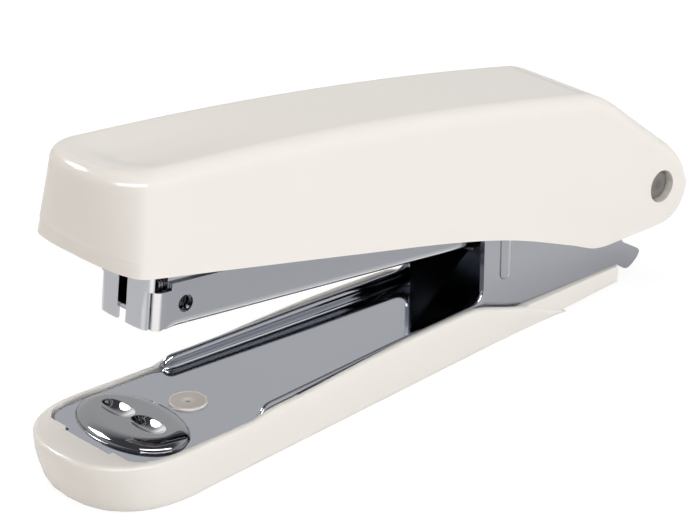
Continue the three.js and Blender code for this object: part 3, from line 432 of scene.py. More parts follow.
# the rib is a half round that ends below in a quarter of a ball
rib_rows = []
for turn in spread(0, 180, 14):
    a = math.radians(turn)
    across, proud = math.cos(a), RIB_PROUD * math.sin(a)
    row = [(RIB_X - across, -WALL_HALF + 0.02 - proud, RIB_TOP)]
    for tip in spread(0, 90, 6):
        b = math.radians(tip)
        x, y = RIB_X - across * math.cos(b), -WALL_HALF + 0.02 - proud * math.cos(b)
        row.append((x, y, RIB_FOOT - 0.9 * math.sin(b)))
    rib_rows.append(row)
bent_grid(pressing, rib_rows)


def flange_section(x):
    """The flange across its length: outer face, rounded top, and hollow down to the plate."""
    into_end = max(FLANGE_END - x, 0) / (FLANGE_END - FLANGE_START)
    full = FLANGE_HEIGHT + FLANGE_RISE * clamp((x + 74) / 22)
    tall = full * math.sqrt(max(1 - into_end * into_end, 0.0))
    into_wall = max(x + 35.9, 0) / 2.6
    tall += 1.9 * (1 - math.sqrt(max(1 - into_wall * into_wall, 0.0)))
    outer = wall_plan(x)
    shape = [(0, 0), (0, 0.55), (0, 0.8), (0.05, 0.91), (0.17, 0.98), (0.32, 1), (0.48, 0.98)]
    shape += [(0.64, 0.92), (0.76, 0.83), (0.84, 0.72), (0.89, 0.62)]
    rows = [(x, -outer, PLATE_TOP - 0.64)]
    rows += [(x, -outer + inward, PLATE_TOP + tall * up) for inward, up in shape]
    for turn in (*range(0, 85, 12), 90):
        a = math.radians(turn)
        inward, up = 0.93 + 0.23 * (1 - math.cos(a)), 0.52 * (1 - math.sin(a))
        rows.append((x, -outer + inward, PLATE_TOP - 0.004 + tall * up))
    return rows


flange_x = [FLANGE_START, -76.84, -76.75, -76.55, -76.25, -75.8, -75.4, FLANGE_END]
flange_x += spread(-73, -37, 18) + [-35.9, -35.2, -34.5, -33.9, -33.6, -33.4, WALL_START]
bent_grid(pressing, [flange_section(x) for x in flange_x])
both_sides(pressing)
# painted highlight along the ribs and the flanges, most of all on the far flange's rounded top
painted_highlight_layer = mark_turning(pressing)
for vert in pressing.verts:
    x, near = vert.co.x, vert.co.y < 0
    if x > WALL_START - 0.05:
        vert[painted_highlight_layer] *= 0.7 if 0 < x - RIB_X < 1.1 else 0
    elif x > -37:
        vert[painted_highlight_layer] *= 0.6 if near else 0.12
    elif near:
        vert[painted_highlight_layer] *= 0.12
    elif vert.co.z > PLATE_TOP + 0.4:
        vert[painted_highlight_layer] = max(vert[painted_highlight_layer], 0.2)
plate = [(-97.5, 0), (-97.5, -4.35), (-97.35, -4.5), (-96.9, -4.5), (-96.8, -4.6), (-96.8, -6.6)]
plate += quarter((-96.8, -6.6), (-96.8, -9.6), (-92.6, -10.02), 8)
plate += [(-90.2, -10.1), (FLANGE_START, -9.9), (WALL_START, -7.7), (-5.6, -7.7), (-5.4, -4)]
plate += [(-1.6, -3.8), (-1.6, 3.8)]
plate += [(x, -y) for x, y in reversed(plate[1:-2])]
cut_sheet(pressing, [(x, y, PLATE_TOP) for x, y in plate], (0, 0, -PLATE_SHEET))
base_frame = put_in_place(
    pressing,
    "base_frame_pressing",
    chrome,
    "base",
    "base_frame",
    sharp=40,
    mark=False,
)
soft_edges(base_frame, 0.2, 3, 50)


# ---- Anvil --------------------------------------------------------------------------------------
# An oval boss of pressed steel let into the plate, plated with it. Two smooth hollows in line turn
# the staple's legs inwards.

ANVIL_X, ANVIL_ACROSS, ANVIL_ALONG, ANVIL_HEIGHT = -90.0, 9.2, 5.9, 1.28
SHOULDER = 2.3  # width of the boss's rounded edge
shoulder = [(-0.12, -0.3), (-0.12, 0.02), (-0.05, 0.05), (0, 0.08), (0.03, 0.22), (0.12, 0.36)]
shoulder += [(0.28, 0.49), (0.5, 0.61), (0.78, 0.73), (1.1, 0.83), (1.45, 0.915), (1.8, 0.97)]
shoulder += [(2.1, 0.995), (SHOULDER, 1.0)]
HOLLOW_Y, HOLLOW_LONG, HOLLOW_WIDE, HOLLOW_DEEP = 3.12, 3.05, 1.6, 0.85


def hollow(x, y):
    """Depth of the two long hollows at a point of the anvil's top."""
    along = (abs(y) - HOLLOW_Y) / HOLLOW_LONG
    off = abs(along) ** 2.6 + (x / HOLLOW_WIDE) ** 2
    return HOLLOW_DEEP * max(1 - off, 0) ** 1.25


polish_and_highlight = finish_of(
    "polished_steel",
    colour=(0.35, 0.355, 0.37),
    other=(0.32, 0.325, 0.34),
    # painted highlight: white where the surface turns round
    edge=(1, 1, 1),
    roughness=(0.04, 0.08),
    bump=(0.02, 3e-6),
    scales=(60, 900),
    metallic=1.0,
)
anvil = bmesh.new()
round_about = [(math.cos(a), math.sin(a)) for a in spread(0, 2 * math.pi, 144)]
rows = []
for inset, rise in shoulder:
    along, across = ANVIL_ALONG - inset, ANVIL_ACROSS - inset
    z = PLATE_TOP + rise * ANVIL_HEIGHT
    rows.append([(ANVIL_X + along * c, across * s, z) for c, s in round_about])
for share in spread(1, 0, 56)[1:]:
    along, across = (ANVIL_ALONG - SHOULDER) * share, (ANVIL_ACROSS - SHOULDER) * share
    rows.append([
        (ANVIL_X + along * c, across * s, PLATE_TOP + ANVIL_HEIGHT - hollow(along * c, across * s))
        for c, s in round_about
    ])
bent_grid(anvil, rows)
bmesh.ops.remove_doubles(anvil, verts=anvil.verts, dist=0.001)
# painted highlight on the banks of the hollows that face the near side
bank_highlight = anvil.verts.layers.float.new("turning")
for vert in anvil.verts:
    x, y = vert.co.x - ANVIL_X, vert.co.y
    rising = hollow(x, y + 0.1) - hollow(x, y - 0.1)
    vert[bank_highlight] = clamp(rising * 18 - 0.1) if rising else 0
close_holes(anvil)
bmesh.ops.recalc_face_normals(anvil, faces=anvil.faces)
put_in_place(anvil, "anvil_boss", polish_and_highlight, "base", "anvil", sharp=60, mark=False)


# ---- Base rivet ---------------------------------------------------------------------------------
# A white nylon push rivet that holds the plate down in the base cover. The flat head carries a thin
# raised rim and the small mark of its injection point.

nylon = finish_of(
    "white_nylon",
    colour=(0.67, 0.63, 0.58),
    other=(0.63, 0.59, 0.54),
    # painted highlight: a lighter nylon on the rounded edges
    edge=(0.86, 0.83, 0.79),
    roughness=(0.3, 0.42),
    bump=(0.05, 1e-5),
)


def turned(bm, profile, place=Matrix(), steps=64):
    """Spins a profile of (radius, height) points once round the upright axis, then places it."""
    verts = [bm.verts.new((r, 0, z)) for r, z in profile]
    edges = [bm.edges.new(pair) for pair in zip(verts, verts[1:])]
    bmesh.ops.spin(
        bm,
        geom=verts + edges,
        cent=(0, 0, 0),
        axis=(0, 0, 1),
        angle=2 * math.pi,
        steps=steps,
        use_merge=True,
    )
    bmesh.ops.remove_doubles(bm, verts=bm.verts, dist=0.0005)
    bmesh.ops.recalc_face_normals(bm, faces=bm.faces)
    bmesh.ops.transform(bm, matrix=place, verts=bm.verts)


head = [(0, -1.5), (0.34, -1.45), (0.4, 0), (0.44, 0.19), (0.52, 0.24), (1.2, 0.24), (2.2, 0.24)]
head += [(2.3, 0.27), (2.4, 0.33), (2.48, 0.34), (2.56, 0.31), (2.62, 0.2), (2.64, 0), (1.5, -0.1)]
head += [(1.5, -2.6), (1.2, -3), (0, -3)]
push_rivet = bmesh.new()
turned(push_rivet, head, Matrix.Translation((-80.56, 0, PLATE_TOP)))
put_in_place(push_rivet, "base_push_rivet", nylon, "base", "base_rivet", sharp=50)


# ---- Base spring --------------------------------------------------------------------------------
# The leaf that lifts the magazine off the plate: a strip of tempered spring steel, bent up to a
# rounded tip and left dull from its heat treatment. The magazine presses it flat as it comes down.

spring_steel = finish_of(
    "spring_steel",
    colour=(0.22, 0.225, 0.235),
    other=(0.15, 0.155, 0.17),
    # painted highlight: a lighter steel on the rounded edges
    edge=(0.5, 0.5, 0.51),
    roughness=(0.24, 0.4),
    bump=(0.08, 5e-6),
    scales=(70, 1800),
    metallic=1.0,
)


def leaf_spring(points, half, sheet=0.4):
    """A bent strip whose upper face follows the points, with rounded ends."""
    bm = bmesh.new()
    upper = [(x, along_curve(points, x)) for x in spread(points[0][0], points[-1][0], 60)]
    section = upper + [(x, z - sheet) for x, z in reversed(upper)]
    cut_sheet(bm, [(x, -half, z) for x, z in section], (0, 2 * half, 0))
    corners = [e for e in bm.edges if (e.verts[0].co - e.verts[1].co).xy.length < 0.001]
    bmesh.ops.bevel(
        bm, geom=corners, offset=1.5, segments=6, profile=0.5, affect="EDGES", material=-1
    )
    bmesh.ops.recalc_face_normals(bm, faces=bm.faces)
    return bm


base_bend = [(-32, -2.3), (-30, -1.8), (-28, -2.4), (-18.5, -9.85), (-16.5, -10.35), (-8, -10.35)]
base_leaf = put_in_place(
    leaf_spring(base_bend, 4),
    "base_leaf_spring",
    spring_steel,
    "base",
    "base_spring",
)
soft_edges(base_leaf, 0.08)
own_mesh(base_leaf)


# ---- Base spring rivet --------------------------------------------------------------------------
# A plain steel rivet through the leaf and the plate, with a low domed head above and a flat one
# under the plate.

bare_steel = finish_of(
    "bare_steel",
    colour=(0.42, 0.425, 0.435),
    other=(0.35, 0.355, 0.37),
    # painted highlight: a lighter steel on the rounded edges
    edge=(0.72, 0.72, 0.73),
    roughness=(0.2, 0.32),
    bump=(0.06, 4e-6),
    scales=(60, 1500),
    metallic=1.0,
)


def domed_rivet(low, high):
    """Profile of a rivet that holds what lies between two heights."""
    dome = [(0, 0.6), (0.7, 0.58), (1.25, 0.48), (1.65, 0.3), (1.88, 0.08), (1.88, 0), (1, 0)]
    foot = [(1, 0), (1.85, 0), (1.88, -0.12), (1.7, -0.4), (1.2, -0.56), (0, -0.6)]
    return [(r, high + z) for r, z in dome] + [(r, low + z) for r, z in foot]


base_stud = bmesh.new()
turned(base_stud, domed_rivet(-11.65, -10.3), Matrix.Translation((-11.5, 0, 0)), 40)
put_in_place(base_stud, "base_leaf_rivet", bare_steel, "base", "base_spring_rivet")


# ---- Pivot pin ----------------------------------------------------------------------------------
# A turned steel pin, 4 mm thick, that carries the magazine and the handle. Its head sits outside
# the near wall and its chamfered ends show in the cover's windows.

# painted shade: this steel is painted dark for the shade on the pin's ends inside the cover's
# windows
shaded_turned_steel = finish_of(
    "shaded_turned_steel",
    colour=(0.24, 0.228, 0.22),
    other=(0.21, 0.2, 0.192),
    # painted highlight: a lighter steel on the rounded edges
    edge=(0.36, 0.35, 0.34),
    roughness=(0.28, 0.4),
    bump=(0.06, 4e-6),
    scales=(200, 2500),
    metallic=1.0,
)
ACROSS = Matrix.Rotation(math.radians(90), 4, "X")
pin_end = [(0, 9.9), (0.5, 9.93), (0.7, 10), (1.6, 10), (1.83, 9.93), (1.96, 9.8), (2, 9.6)]
shaft = pin_end + [(2, 8.36), (2.65, 8.36), (2.85, 8.3), (2.9, 8.15), (2.9, 7.86), (2, 7.86)]
shaft += [(2, 0)] + [(r, -z) for r, z in reversed(pin_end)]
pivot = bmesh.new()
turned(pivot, shaft, ACROSS)
put_in_place(pivot, "pivot_shaft", shaded_turned_steel, "base", "pivot_pin")


# ---- Pin retainer -------------------------------------------------------------------------------
# A dished push-on washer of thin steel that grips the pin outside the far wall.
# It is pressed from sheet and stays on by its sprung inner edge.

washer = [(2.1, -7.92), (2.7, -7.86), (2.86, -7.9), (2.9, -8.0), (2.8, -8.1), (2.5, -8.16)]
washer += [(2.2, -8.32), (2.1, -8.36), (2.1, -7.92)]
grip = bmesh.new()
turned(grip, washer, ACROSS)
put_in_place(grip, "push_on_washer", bare_steel, "base", "pin_retainer")


# ---- Magazine channel ---------------------------------------------------------------------------
# The magazine's outer trough, folded from 0.45 mm plated sheet. Its sides turn in round the front
# corners and stop beside the rail's face; a round hole on each side shows the staple feed.

LEANS["magazine"] = 7.64
MAGAZINE_HALF, MAGAZINE_FOOT, MAGAZINE_SHEET = 5.6, -4.55, 0.45
SIDE_TOP, LUG_REAR = 1.6, -11
CHANNEL_FRONT = -90.5
EXIT = -89.4  # the trough has no floor in front of this, where the staples leave

satin_chrome = finish_of(
    "satin_chrome",
    colour=(0.385, 0.405, 0.45),
    other=(0.36, 0.38, 0.425),
    # painted highlight and reflection: near white where the plating turns round
    edge=(0.97, 0.975, 0.99),
    roughness=(0.07, 0.13),
    bump=(0.02, 4e-6),
    scales=(40, 900),
    metallic=1.0,
)


def give_thickness(piece, thickness):
    """The modelled surface is the outer face; the sheet lies inwards from it."""
    sheet = piece.modifiers.new("sheet", "SOLIDIFY")
    sheet.thickness = thickness * MM
    sheet.offset = -1


def punch(bm, x, z, radius, level):
    """Cuts a round hole through a side wall whose surface lies at level(x, z)."""
    bm.normal_update()

    def reach(vert):
        return max(abs(vert.co.x - x), abs(vert.co.z - z))

    border = {e for e in bm.edges if e.is_boundary}
    inner = [
        f for f in bm.faces if f.normal.y**2 > 0.5 and min(map(reach, f.verts)) < radius * 1.12
    ]
    bmesh.ops.delete(bm, geom=inner, context="FACES")
    rim = [e for e in bm.edges if e.is_boundary and e not in border]
    ring = bmesh.ops.create_circle(bm, segments=48, radius=radius)["verts"]
    for vert in ring:
        a, b = vert.co.x, vert.co.y
        vert.co = (x + a, level(x + a, z + b), z + b)
    circle = list(dict.fromkeys(e for v in ring for e in v.link_edges))
    bmesh.ops.triangle_fill(bm, use_beauty=True, edges=rim + circle, normal=(0, -1, 0))


def roll(x):
    """Radius of the bend along the trough's foot, which starts behind the front corner."""
    return 0.04 + 0.66 * clamp((x - EXIT) / 2.5)


channel_path = [(CHANNEL_FRONT, -4.6), (CHANNEL_FRONT, -4.7)]
channel_path += quarter(
    (CHANNEL_FRONT, -4.7),
    (CHANNEL_FRONT, -MAGAZINE_HALF),
    (CHANNEL_FRONT + 0.9, -MAGAZINE_HALF),
    8,
)
channel_x = [-88.7, -88.09, -88.03] + spread(-87.5, -83.5, 8) + spread(-82, -8, 24)
channel_path += [(x, -MAGAZINE_HALF) for x in channel_x]
behind_exit = [x for x, _ in channel_path if x > EXIT]
channel = bmesh.new()
rows = []
for t in spread(0, 1, 12):
    row = []
    for x, y in channel_path:
        foot = MAGAZINE_FOOT + (roll(x) if x > EXIT else 0)
        top = 0.65 if x < -88.06 else SIDE_TOP
        row.append((x, y, foot + (top - foot) * t))
    rows.append(row)
bent_grid(channel, rows)
punch(channel, -85.6, -1.55, 1.2, lambda x, z: -MAGAZINE_HALF)
rows = []
for turn in spread(0, 90, 5):
    a = math.radians(turn)
    inward, drop = 1 - math.cos(a), 1 - math.sin(a)
    rows.append([
        (x, -MAGAZINE_HALF + roll(x) * inward, MAGAZINE_FOOT + roll(x) * drop) for x in behind_exit
    ])
rows.append([(x, 0, MAGAZINE_FOOT) for x in behind_exit])
bent_grid(channel, rows)
lug = [(LUG_REAR, -EAR_RADIUS)] + ear(-90, 66, 12) + [(1.6, 3.5), (-3, SIDE_TOP)]
lug += [(LUG_REAR, SIDE_TOP)]
channel.faces.new([channel.verts.new((x, -MAGAZINE_HALF, z)) for x, z in lug])
both_sides(channel)
magazine_channel = put_in_place(
    channel,
    "magazine_outer_channel",
    satin_chrome,
    "magazine",
    "magazine_channel",
    sharp=40,
)
give_thickness(magazine_channel, MAGAZINE_SHEET)
soft_edges(magazine_channel, 0.1, 2, 50)


# ---- Staple rail --------------------------------------------------------------------------------
# The trough that carries the staples, folded from the same plated sheet. Its bulging front face has
# the slot through which the driver pushes each staple, and stands higher than the rail's sides.

RAIL_FACE, RAIL_HALF = -91.0, 5.1
RAIL_SIDE_TOP, RAIL_FLOOR = 0.7, -4.05
SLOT_HALF, SLOT_TOP = 0.85, 4


def face_bulge(y):
    """How far the face stands forward: nearly flat, chamfered towards its ends."""
    return RAIL_FACE - 0.16 - 0.3 * (1 - clamp((abs(y) - 2.6) / 2.0) ** 1.3)


rail = bmesh.new()
face_y = (0, 0.4, SLOT_HALF, 1.2, 1.8, 2.4, 2.6, 2.8, 3.2, 3.6, 4)
face_path = [(face_bulge(y), -y) for y in face_y]
lower_path = face_path + [(-91.12, -4.3), (-91.0, -4.46), (-90.8, -4.5), (-90.4, -4.5)]
upper_path = face_path + [(-91.14, -4.6), (-91.0, -4.9), (-90.8, -5.05), (-90.5, -RAIL_HALF)]
for path, heights in (
    (lower_path, (MAGAZINE_FOOT, -2, RAIL_SIDE_TOP)),
    (upper_path, (RAIL_SIDE_TOP, 3, SLOT_TOP, 7)),
):
    bent_grid(rail, [[(x, y, z) for x, y in path] for z in heights])
middles = [(face, face.calc_center_median()) for face in rail.faces]
slot = [f for f, at in middles if at.y > -SLOT_HALF and at.z < SLOT_TOP and at.x < RAIL_FACE]
bmesh.ops.delete(rail, geom=slot, context="FACES")
bent_grid(rail, [[(x, -RAIL_HALF, z) for x in (-88.4, -86, -14)] for z in (RAIL_SIDE_TOP, 3)])
rail_x = spread(-89.2, -83.2, 12) + [-80, -14]
bent_grid(rail, [[(x, -RAIL_HALF, z) for x in rail_x] for z in spread(RAIL_SIDE_TOP, -3.4, 9)])
punch(rail, -85.5, -1.6, 1.0, lambda x, z: -RAIL_HALF)
floor_bend = [(-RAIL_HALF, -3.4), (-4.95, -3.85), (-4.5, RAIL_FLOOR), (0, RAIL_FLOOR)]
bent_grid(rail, [[(x, y, z) for x in rail_x] for y, z in floor_bend])
both_sides(rail)
# painted light: the front face takes some of the bright edge colour, so it shows brighter than the
# sides
front_face_highlight = mark_turning(rail)
for vert in rail.verts:
    if vert.co.x < RAIL_FACE:
        vert[front_face_highlight] = max(vert[front_face_highlight], 0.2)
staple_rail = put_in_place(
    rail,
    "staple_inner_rail",
    chrome,
    "magazine",
    "staple_rail",
    sharp=40,
    mark=False,
)
give_thickness(staple_rail, MAGAZINE_SHEET)
soft_edges(staple_rail, 0.12, 2, 50)


# ---- Staple strip -------------------------------------------------------------------------------
# Fifty-five staples of galvanised wire glued side by side, so each bridge and leg shows as a small
# rounded ridge. The wire is painted near black as shade deep inside the magazine, and painted
# lighter towards the bridges on top.

# painted shade: the wire's near-black colour stands for the shade inside the magazine
wire = finish_of(
    "staple_wire",
    colour=(0.05, 0.05, 0.052),
    other=(0.04, 0.04, 0.042),
    edge=(0.4, 0.4, 0.41),
    roughness=(0.14, 0.24),
    bump=(0.05, 4e-6),
    scales=(90, 2000),
    metallic=1.0,
)
STRIP_FRONT, STRIP_REAR, STAPLES = -89.35, -64.4, 55
STRIP_HALF, STRIP_TOP, STRIP_FOOT = 4.5, 1.9, -3.55
WIRE = 0.45
# a staple from its near foot over the bridge to its far foot, and back inside the wire
leg = [(-STRIP_HALF, z) for z in (STRIP_FOOT, -3.4, -2, 0.4, 1.2)]
over = leg + quarter((-4.5, 1.2), (-4.5, STRIP_TOP), (-3.8, STRIP_TOP)) + [(-2, STRIP_TOP)]
over += [(0, STRIP_TOP)] + [(-y, z) for y, z in reversed(over)]
inner = [(4.05, STRIP_FOOT), (4.05, STRIP_TOP - WIRE), (-4.05, STRIP_TOP - WIRE)]
inner += [(-4.05, STRIP_FOOT)]
spacing = (STRIP_REAR - STRIP_FRONT) / STAPLES
# where each wire's section dips, as shares of its width
ridge = [(0.03, 0.09), (0.2, 0.025), (0.5, 0), (0.8, 0.025), (0.97, 0.09)]
ridges = [(STRIP_FRONT + (i + t) * spacing, dip) for i in range(STAPLES) for t, dip in ridge]
rows = []
for y, z in over:
    inward = Vector((-math.copysign(max(abs(y) - 3.8, 0), y), -max(z - 1.2, 0)))
    inward = inward.normalized() if inward.length > 0 else Vector((0, -1))
    rows.append([(x, y + inward.x * dip, z + inward.y * dip) for x, dip in ridges])
rows += [[(x, y, z) for x, _ in ridges] for y, z in inner]
rows.append([(x, -STRIP_HALF + dip, STRIP_FOOT) for x, dip in ridges])
strip = bmesh.new()
bent_grid(strip, rows)
bmesh.ops.remove_doubles(strip, verts=strip.verts, dist=0.001)
close_holes(strip)
bmesh.ops.recalc_face_normals(strip, faces=strip.faces)
# painted light: the wire takes the lighter edge colour towards the top of the bridges
painted_top_light = strip.verts.layers.float.new("turning")
for vert in strip.verts:
    vert[painted_top_light] = clamp((vert.co.z - 0.9) / 0.7)
put_in_place(
    strip, "glued_staples", wire, "magazine", "staple_strip", sharp=50, mark=False
)


# ---- Pusher -------------------------------------------------------------------------------------
# The follower behind the staples: steel sheet folded down on both sides, with a front wall that the
# guide rod passes through.

LEANS["pusher"] = LEANS["magazine"]
ROD_Z = -1.25
FOLD = 0.8
# the section of the strip and of what runs behind it, once round
left, right, shoulder_z = -STRIP_HALF, STRIP_HALF, STRIP_TOP - FOLD
section = [(y, STRIP_FOOT) for y in spread(left, right, 10)][:-1]
section += [(right, z) for z in spread(STRIP_FOOT, shoulder_z, 6)]
section += quarter((right, shoulder_z), (right, STRIP_TOP), (right - FOLD, STRIP_TOP))
section += [(y, STRIP_TOP) for y in spread(right - FOLD, left + FOLD, 8)][1:]
section += quarter((left + FOLD, STRIP_TOP), (left, STRIP_TOP), (left, shoulder_z))
section += [(left, z) for z in spread(shoulder_z, STRIP_FOOT, 6)][1:]


def round_the_rod(radius, share):
    """The section drawn in towards a circle round the rod: share 0 is the circle."""
    points = []
    for y, z in section:
        out = Vector((y, z - ROD_Z))
        at = (out.normalized() * radius).lerp(out, share)
        points.append((at.x, ROD_Z + at.y))
    return points


def sleeve(levels):
    """A surface through sections given as (x, radius of the hole, share of the full section)."""
    bm = bmesh.new()
    bent_grid(bm, [[(x, y, z) for y, z in round_the_rod(radius, t)] for x, radius, t in levels])
    bmesh.ops.remove_doubles(bm, verts=bm.verts, dist=0.001)
    bmesh.ops.recalc_face_normals(bm, faces=bm.faces)
    return bm


follower = sleeve([
    (-64.3, 1.0, 0),
    (-64.3, 1.0, 0.5),
    (-64.3, 1.0, 0.93),
    (-64.1, 1.0, 1),
    (-60, 1.0, 1),
    (-56.3, 1.0, 1),
])
middles = [(face, face.calc_center_median()) for face in follower.faces]
under = [face for face, at in middles if at.z < -3.5 and at.x > -64]
bmesh.ops.delete(follower, geom=under, context="FACES")
if min(follower.faces, key=lambda f: f.calc_center_median().x).normal.x > 0:
    bmesh.ops.reverse_faces(follower, faces=follower.faces)
folded_pusher = put_in_place(
    follower, "folded_pusher", bare_steel, "pusher", "pusher", sharp=40
)
give_thickness(folded_pusher, 0.7)
soft_edges(folded_pusher, 0.1, 2, 50)


# ---- Pusher spring ------------------------------------------------------------------------------
# A compression spring of hard-drawn wire, wound round the guide rod, that pushes the follower
# forwards. The follower squeezes the coils against the anchor as it is drawn back.

COIL_FRONT, COIL_REAR, COIL_RADIUS = -63.25, -22.35, 1.75
TURNS, STEPS = 20, 24
coil = bmesh.new()
ring = bmesh.ops.create_circle(coil, segments=10, radius=0.25)["verts"]
for vert in ring:
    vert.co = (COIL_FRONT + vert.co.x, COIL_RADIUS + vert.co.y, ROD_Z)
bmesh.ops.spin(
    coil,
    geom=ring + list(dict.fromkeys(e for v in ring for e in v.link_edges)),
    cent=(0, 0, ROD_Z),
    axis=(1, 0, 0),
    dvec=((COIL_REAR - COIL_FRONT) / (TURNS * STEPS), 0, 0),
    angle=2 * math.pi * TURNS,
    steps=TURNS * STEPS,
)
close_holes(coil)
bmesh.ops.recalc_face_normals(coil, faces=coil.faces)
wound_spring = put_in_place(
    coil, "compression_spring", spring_steel, "magazine", "pusher_spring", sharp=80
)
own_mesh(wound_spring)


# ---- Guide rod ----------------------------------------------------------------------------------
# A drawn steel rod with a rounded tip, pressed into the nylon anchor, that carries the follower and
# its spring.

LENGTHWISE = Matrix.Translation((0, 0, ROD_Z)) @ Matrix.Rotation(math.radians(90), 4, "Y")
rod_line = [(0, -88.4), (0.3, -88.36), (0.6, -88.2), (0.78, -87.95), (0.85, -87.6), (0.85, -60)]
rod_line += [(0.85, -17.2), (0.7, -17), (0, -17)]
rod = bmesh.new()
turned(rod, rod_line, LENGTHWISE, 32)
put_in_place(rod, "drawn_rod", bare_steel, "magazine", "guide_rod")


# ---- Rod anchor ---------------------------------------------------------------------------------
# A white nylon block snapped into the rail behind the spring. It is moulded with a blind hole that
# holds the rod.

block = sleeve([
    (-16.9, 0.001, 0),
    (-16.9, 0.95, 0),
    (-21.7, 0.95, 0),
    (-22, 1.15, 0),
    (-22, 1.15, 0.9),
    (-21.75, 1, 1),
    (-16.25, 1, 1),
    (-16, 1, 0.93),
    (-16, 1, 0.5),
    (-16, 0.001, 0),
])
moulded_anchor = put_in_place(
    block, "moulded_anchor", nylon, "magazine", "rod_anchor"
)
soft_edges(moulded_anchor, 0.2)


# ---- Pivot bush ---------------------------------------------------------------------------------
# A length of steel tube over the pin, chamfered at both ends. It keeps the magazine's sides apart
# and lets them turn on the pin.

tube = [(2.1, 4.85), (2.3, 5.05), (2.75, 5.05), (2.95, 4.85), (2.95, 0), (2.95, -4.85)]
tube += [(2.75, -5.05), (2.3, -5.05), (2.1, -4.85), (2.1, 0), (2.1, 4.85)]
bush = bmesh.new()
turned(bush, tube, ACROSS, 48)
put_in_place(bush, "spacer_tube", bare_steel, "magazine", "pivot_bush", sharp=50)


# ---- Handle cover -------------------------------------------------------------------------------
# The grip: a hollow ivory ABS moulding, open underneath, clipped over the steel handle frame. Its
# front leans out and has a shallow dish for the thumb behind the rounded edge; round windows at the
# rear show the ends of the pivot pin.

LEANS["handle"] = 9.64
COVER_HALF, COVER_WALL, EDGE_RADIUS = 10.75, 1.5, 1.9
COVER_TIP, COVER_NOSE, COVER_BLUNTNESS = -99.6, 4.2, 3.0
CREST_HEIGHT, CREST_X, CREST_RADIUS = 16.4, -58, 600
BEND_X, BEND_REACH = -13, 3
REAR_SLOPE, FRONT_LEAN, SIDE_LEAN = (math.tan(math.radians(a)) for a in (31, 6.7, 7.2))
WINDOW = 2.4
DISH_DEEP = 0.85
LIP_PROUD, LIP_TALL = 0.25, 2.15  # the band along the front's lower edge
lower_edge = [(-101, 2.5), (-99.6, 2.4), (-80, 1.05), (-60, -0.4), (-42, -1.8), (-30, -3.4)]
lower_edge += [(-18, -6.1), (-12.5, -7.4), (-6.5, -6.8), (1, -5.75), (3.1, -4.95), (4.35, -3.7)]
lower_edge += [(5.0, -2.4), (5.32, -1), (5.4, -0.2)]
rear_round = [(0.5, 6.6), (1.8, 5.85), (2.9, 5.0), (3.8, 4.2), (4.7, 2.9), (5.2, 1.5), (5.36, 0.6)]
rear_round += [(5.4, 0.2)]


def ease(t):
    return t * t * (3 - 2 * t)


def crest(x):
    return CREST_HEIGHT - (x - CREST_X) ** 2 / (2 * CREST_RADIUS)


def top_line(x):
    """The cover's highest line, from the nose over the bend and down the rear."""
    if x > 0.5:
        return along_curve(rear_round, x)
    slope = crest(BEND_X) - (x - BEND_X) * REAR_SLOPE
    t = (x - (BEND_X - BEND_REACH)) / (2 * BEND_REACH)
    if t <= 0:
        return crest(x)
    if t >= 1:
        return slope
    # one curve carries the crest over the bend into the slope
    before, after = crest(BEND_X - BEND_REACH), crest(BEND_X) - BEND_REACH * REAR_SLOPE
    return (1 - t) ** 2 * before + 2 * t * (1 - t) * crest(BEND_X) + t * t * after


def cover_half(z):
    """Half width of the cover at a height: upright sides that lean in above the pin."""
    above = z - 1
    lean = 0 if above < -3 else above if above > 3 else (above + 3) ** 2 / 12
    return COVER_HALF - lean * SIDE_LEAN


def thumb_dish(x, y):
    """Depth of the shallow dish behind the front edge, which runs out towards the rear."""
    start = -98.6 + 7.5 * (abs(y) / 9.2) ** 3.2
    entry = clamp((x - start) / 5.5)
    fade = clamp((-68 - x) / 24)
    bank = clamp((8.8 - abs(y)) / 8)
    return DISH_DEEP * ease(entry) * ease(fade) * ease(bank)


def cover_column(x, nose_share):
    """One line over the cover, from the lower edge up the side and across to the middle. On the
    nose x is None and the share tells how far round it the line stands."""

    def plan(z, pull):
        if nose_share is None:
            return x, -(cover_half(z) - pull)
        level = clamp((crest(COVER_TIP) - z) / 15.4)
        tip = COVER_TIP - z * FRONT_LEAN + pull
        half = cover_half(z) - pull
        px, py = rounded_nose(tip, half, COVER_NOSE, COVER_BLUNTNESS, nose_share)
        bow = max(2.3 - 2.7 * level, 0)  # the front bows back towards its sides, most at the top
        return px + bow * (py / cover_half(z)) ** 2, py

    low, top = along_curve(lower_edge, plan(3, 0)[0]), top_line(plan(15, EDGE_RADIUS)[0])
    round_over = min(EDGE_RADIUS, 0.4 * (top - low))
    high = top - round_over
    column = []
    for t in cover_rows:
        z = low + (high - low) * t
        lip = 0.0
        if nose_share is not None:
            front = 1 - min(nose_share / 0.8, 1) ** 2
            lip = front * LIP_PROUD * clamp((LIP_TALL - (z - low)) / 0.3)
        column.append((*plan(z, lip), z))
    for turn in spread(15, 90, 5):
        a = math.radians(turn)
        z = high + round_over * math.sin(a)
        px, py = plan(z, round_over * (1 - math.cos(a)))
        column.append((px, py, z - thumb_dish(px, py) * (turn / 90) ** 2))
    px, py, z = column[-1]
    for t in roof_rows:
        y = py * (1 - t)
        column.append((px, y, top_line(px) - thumb_dish(px, y)))
    return column


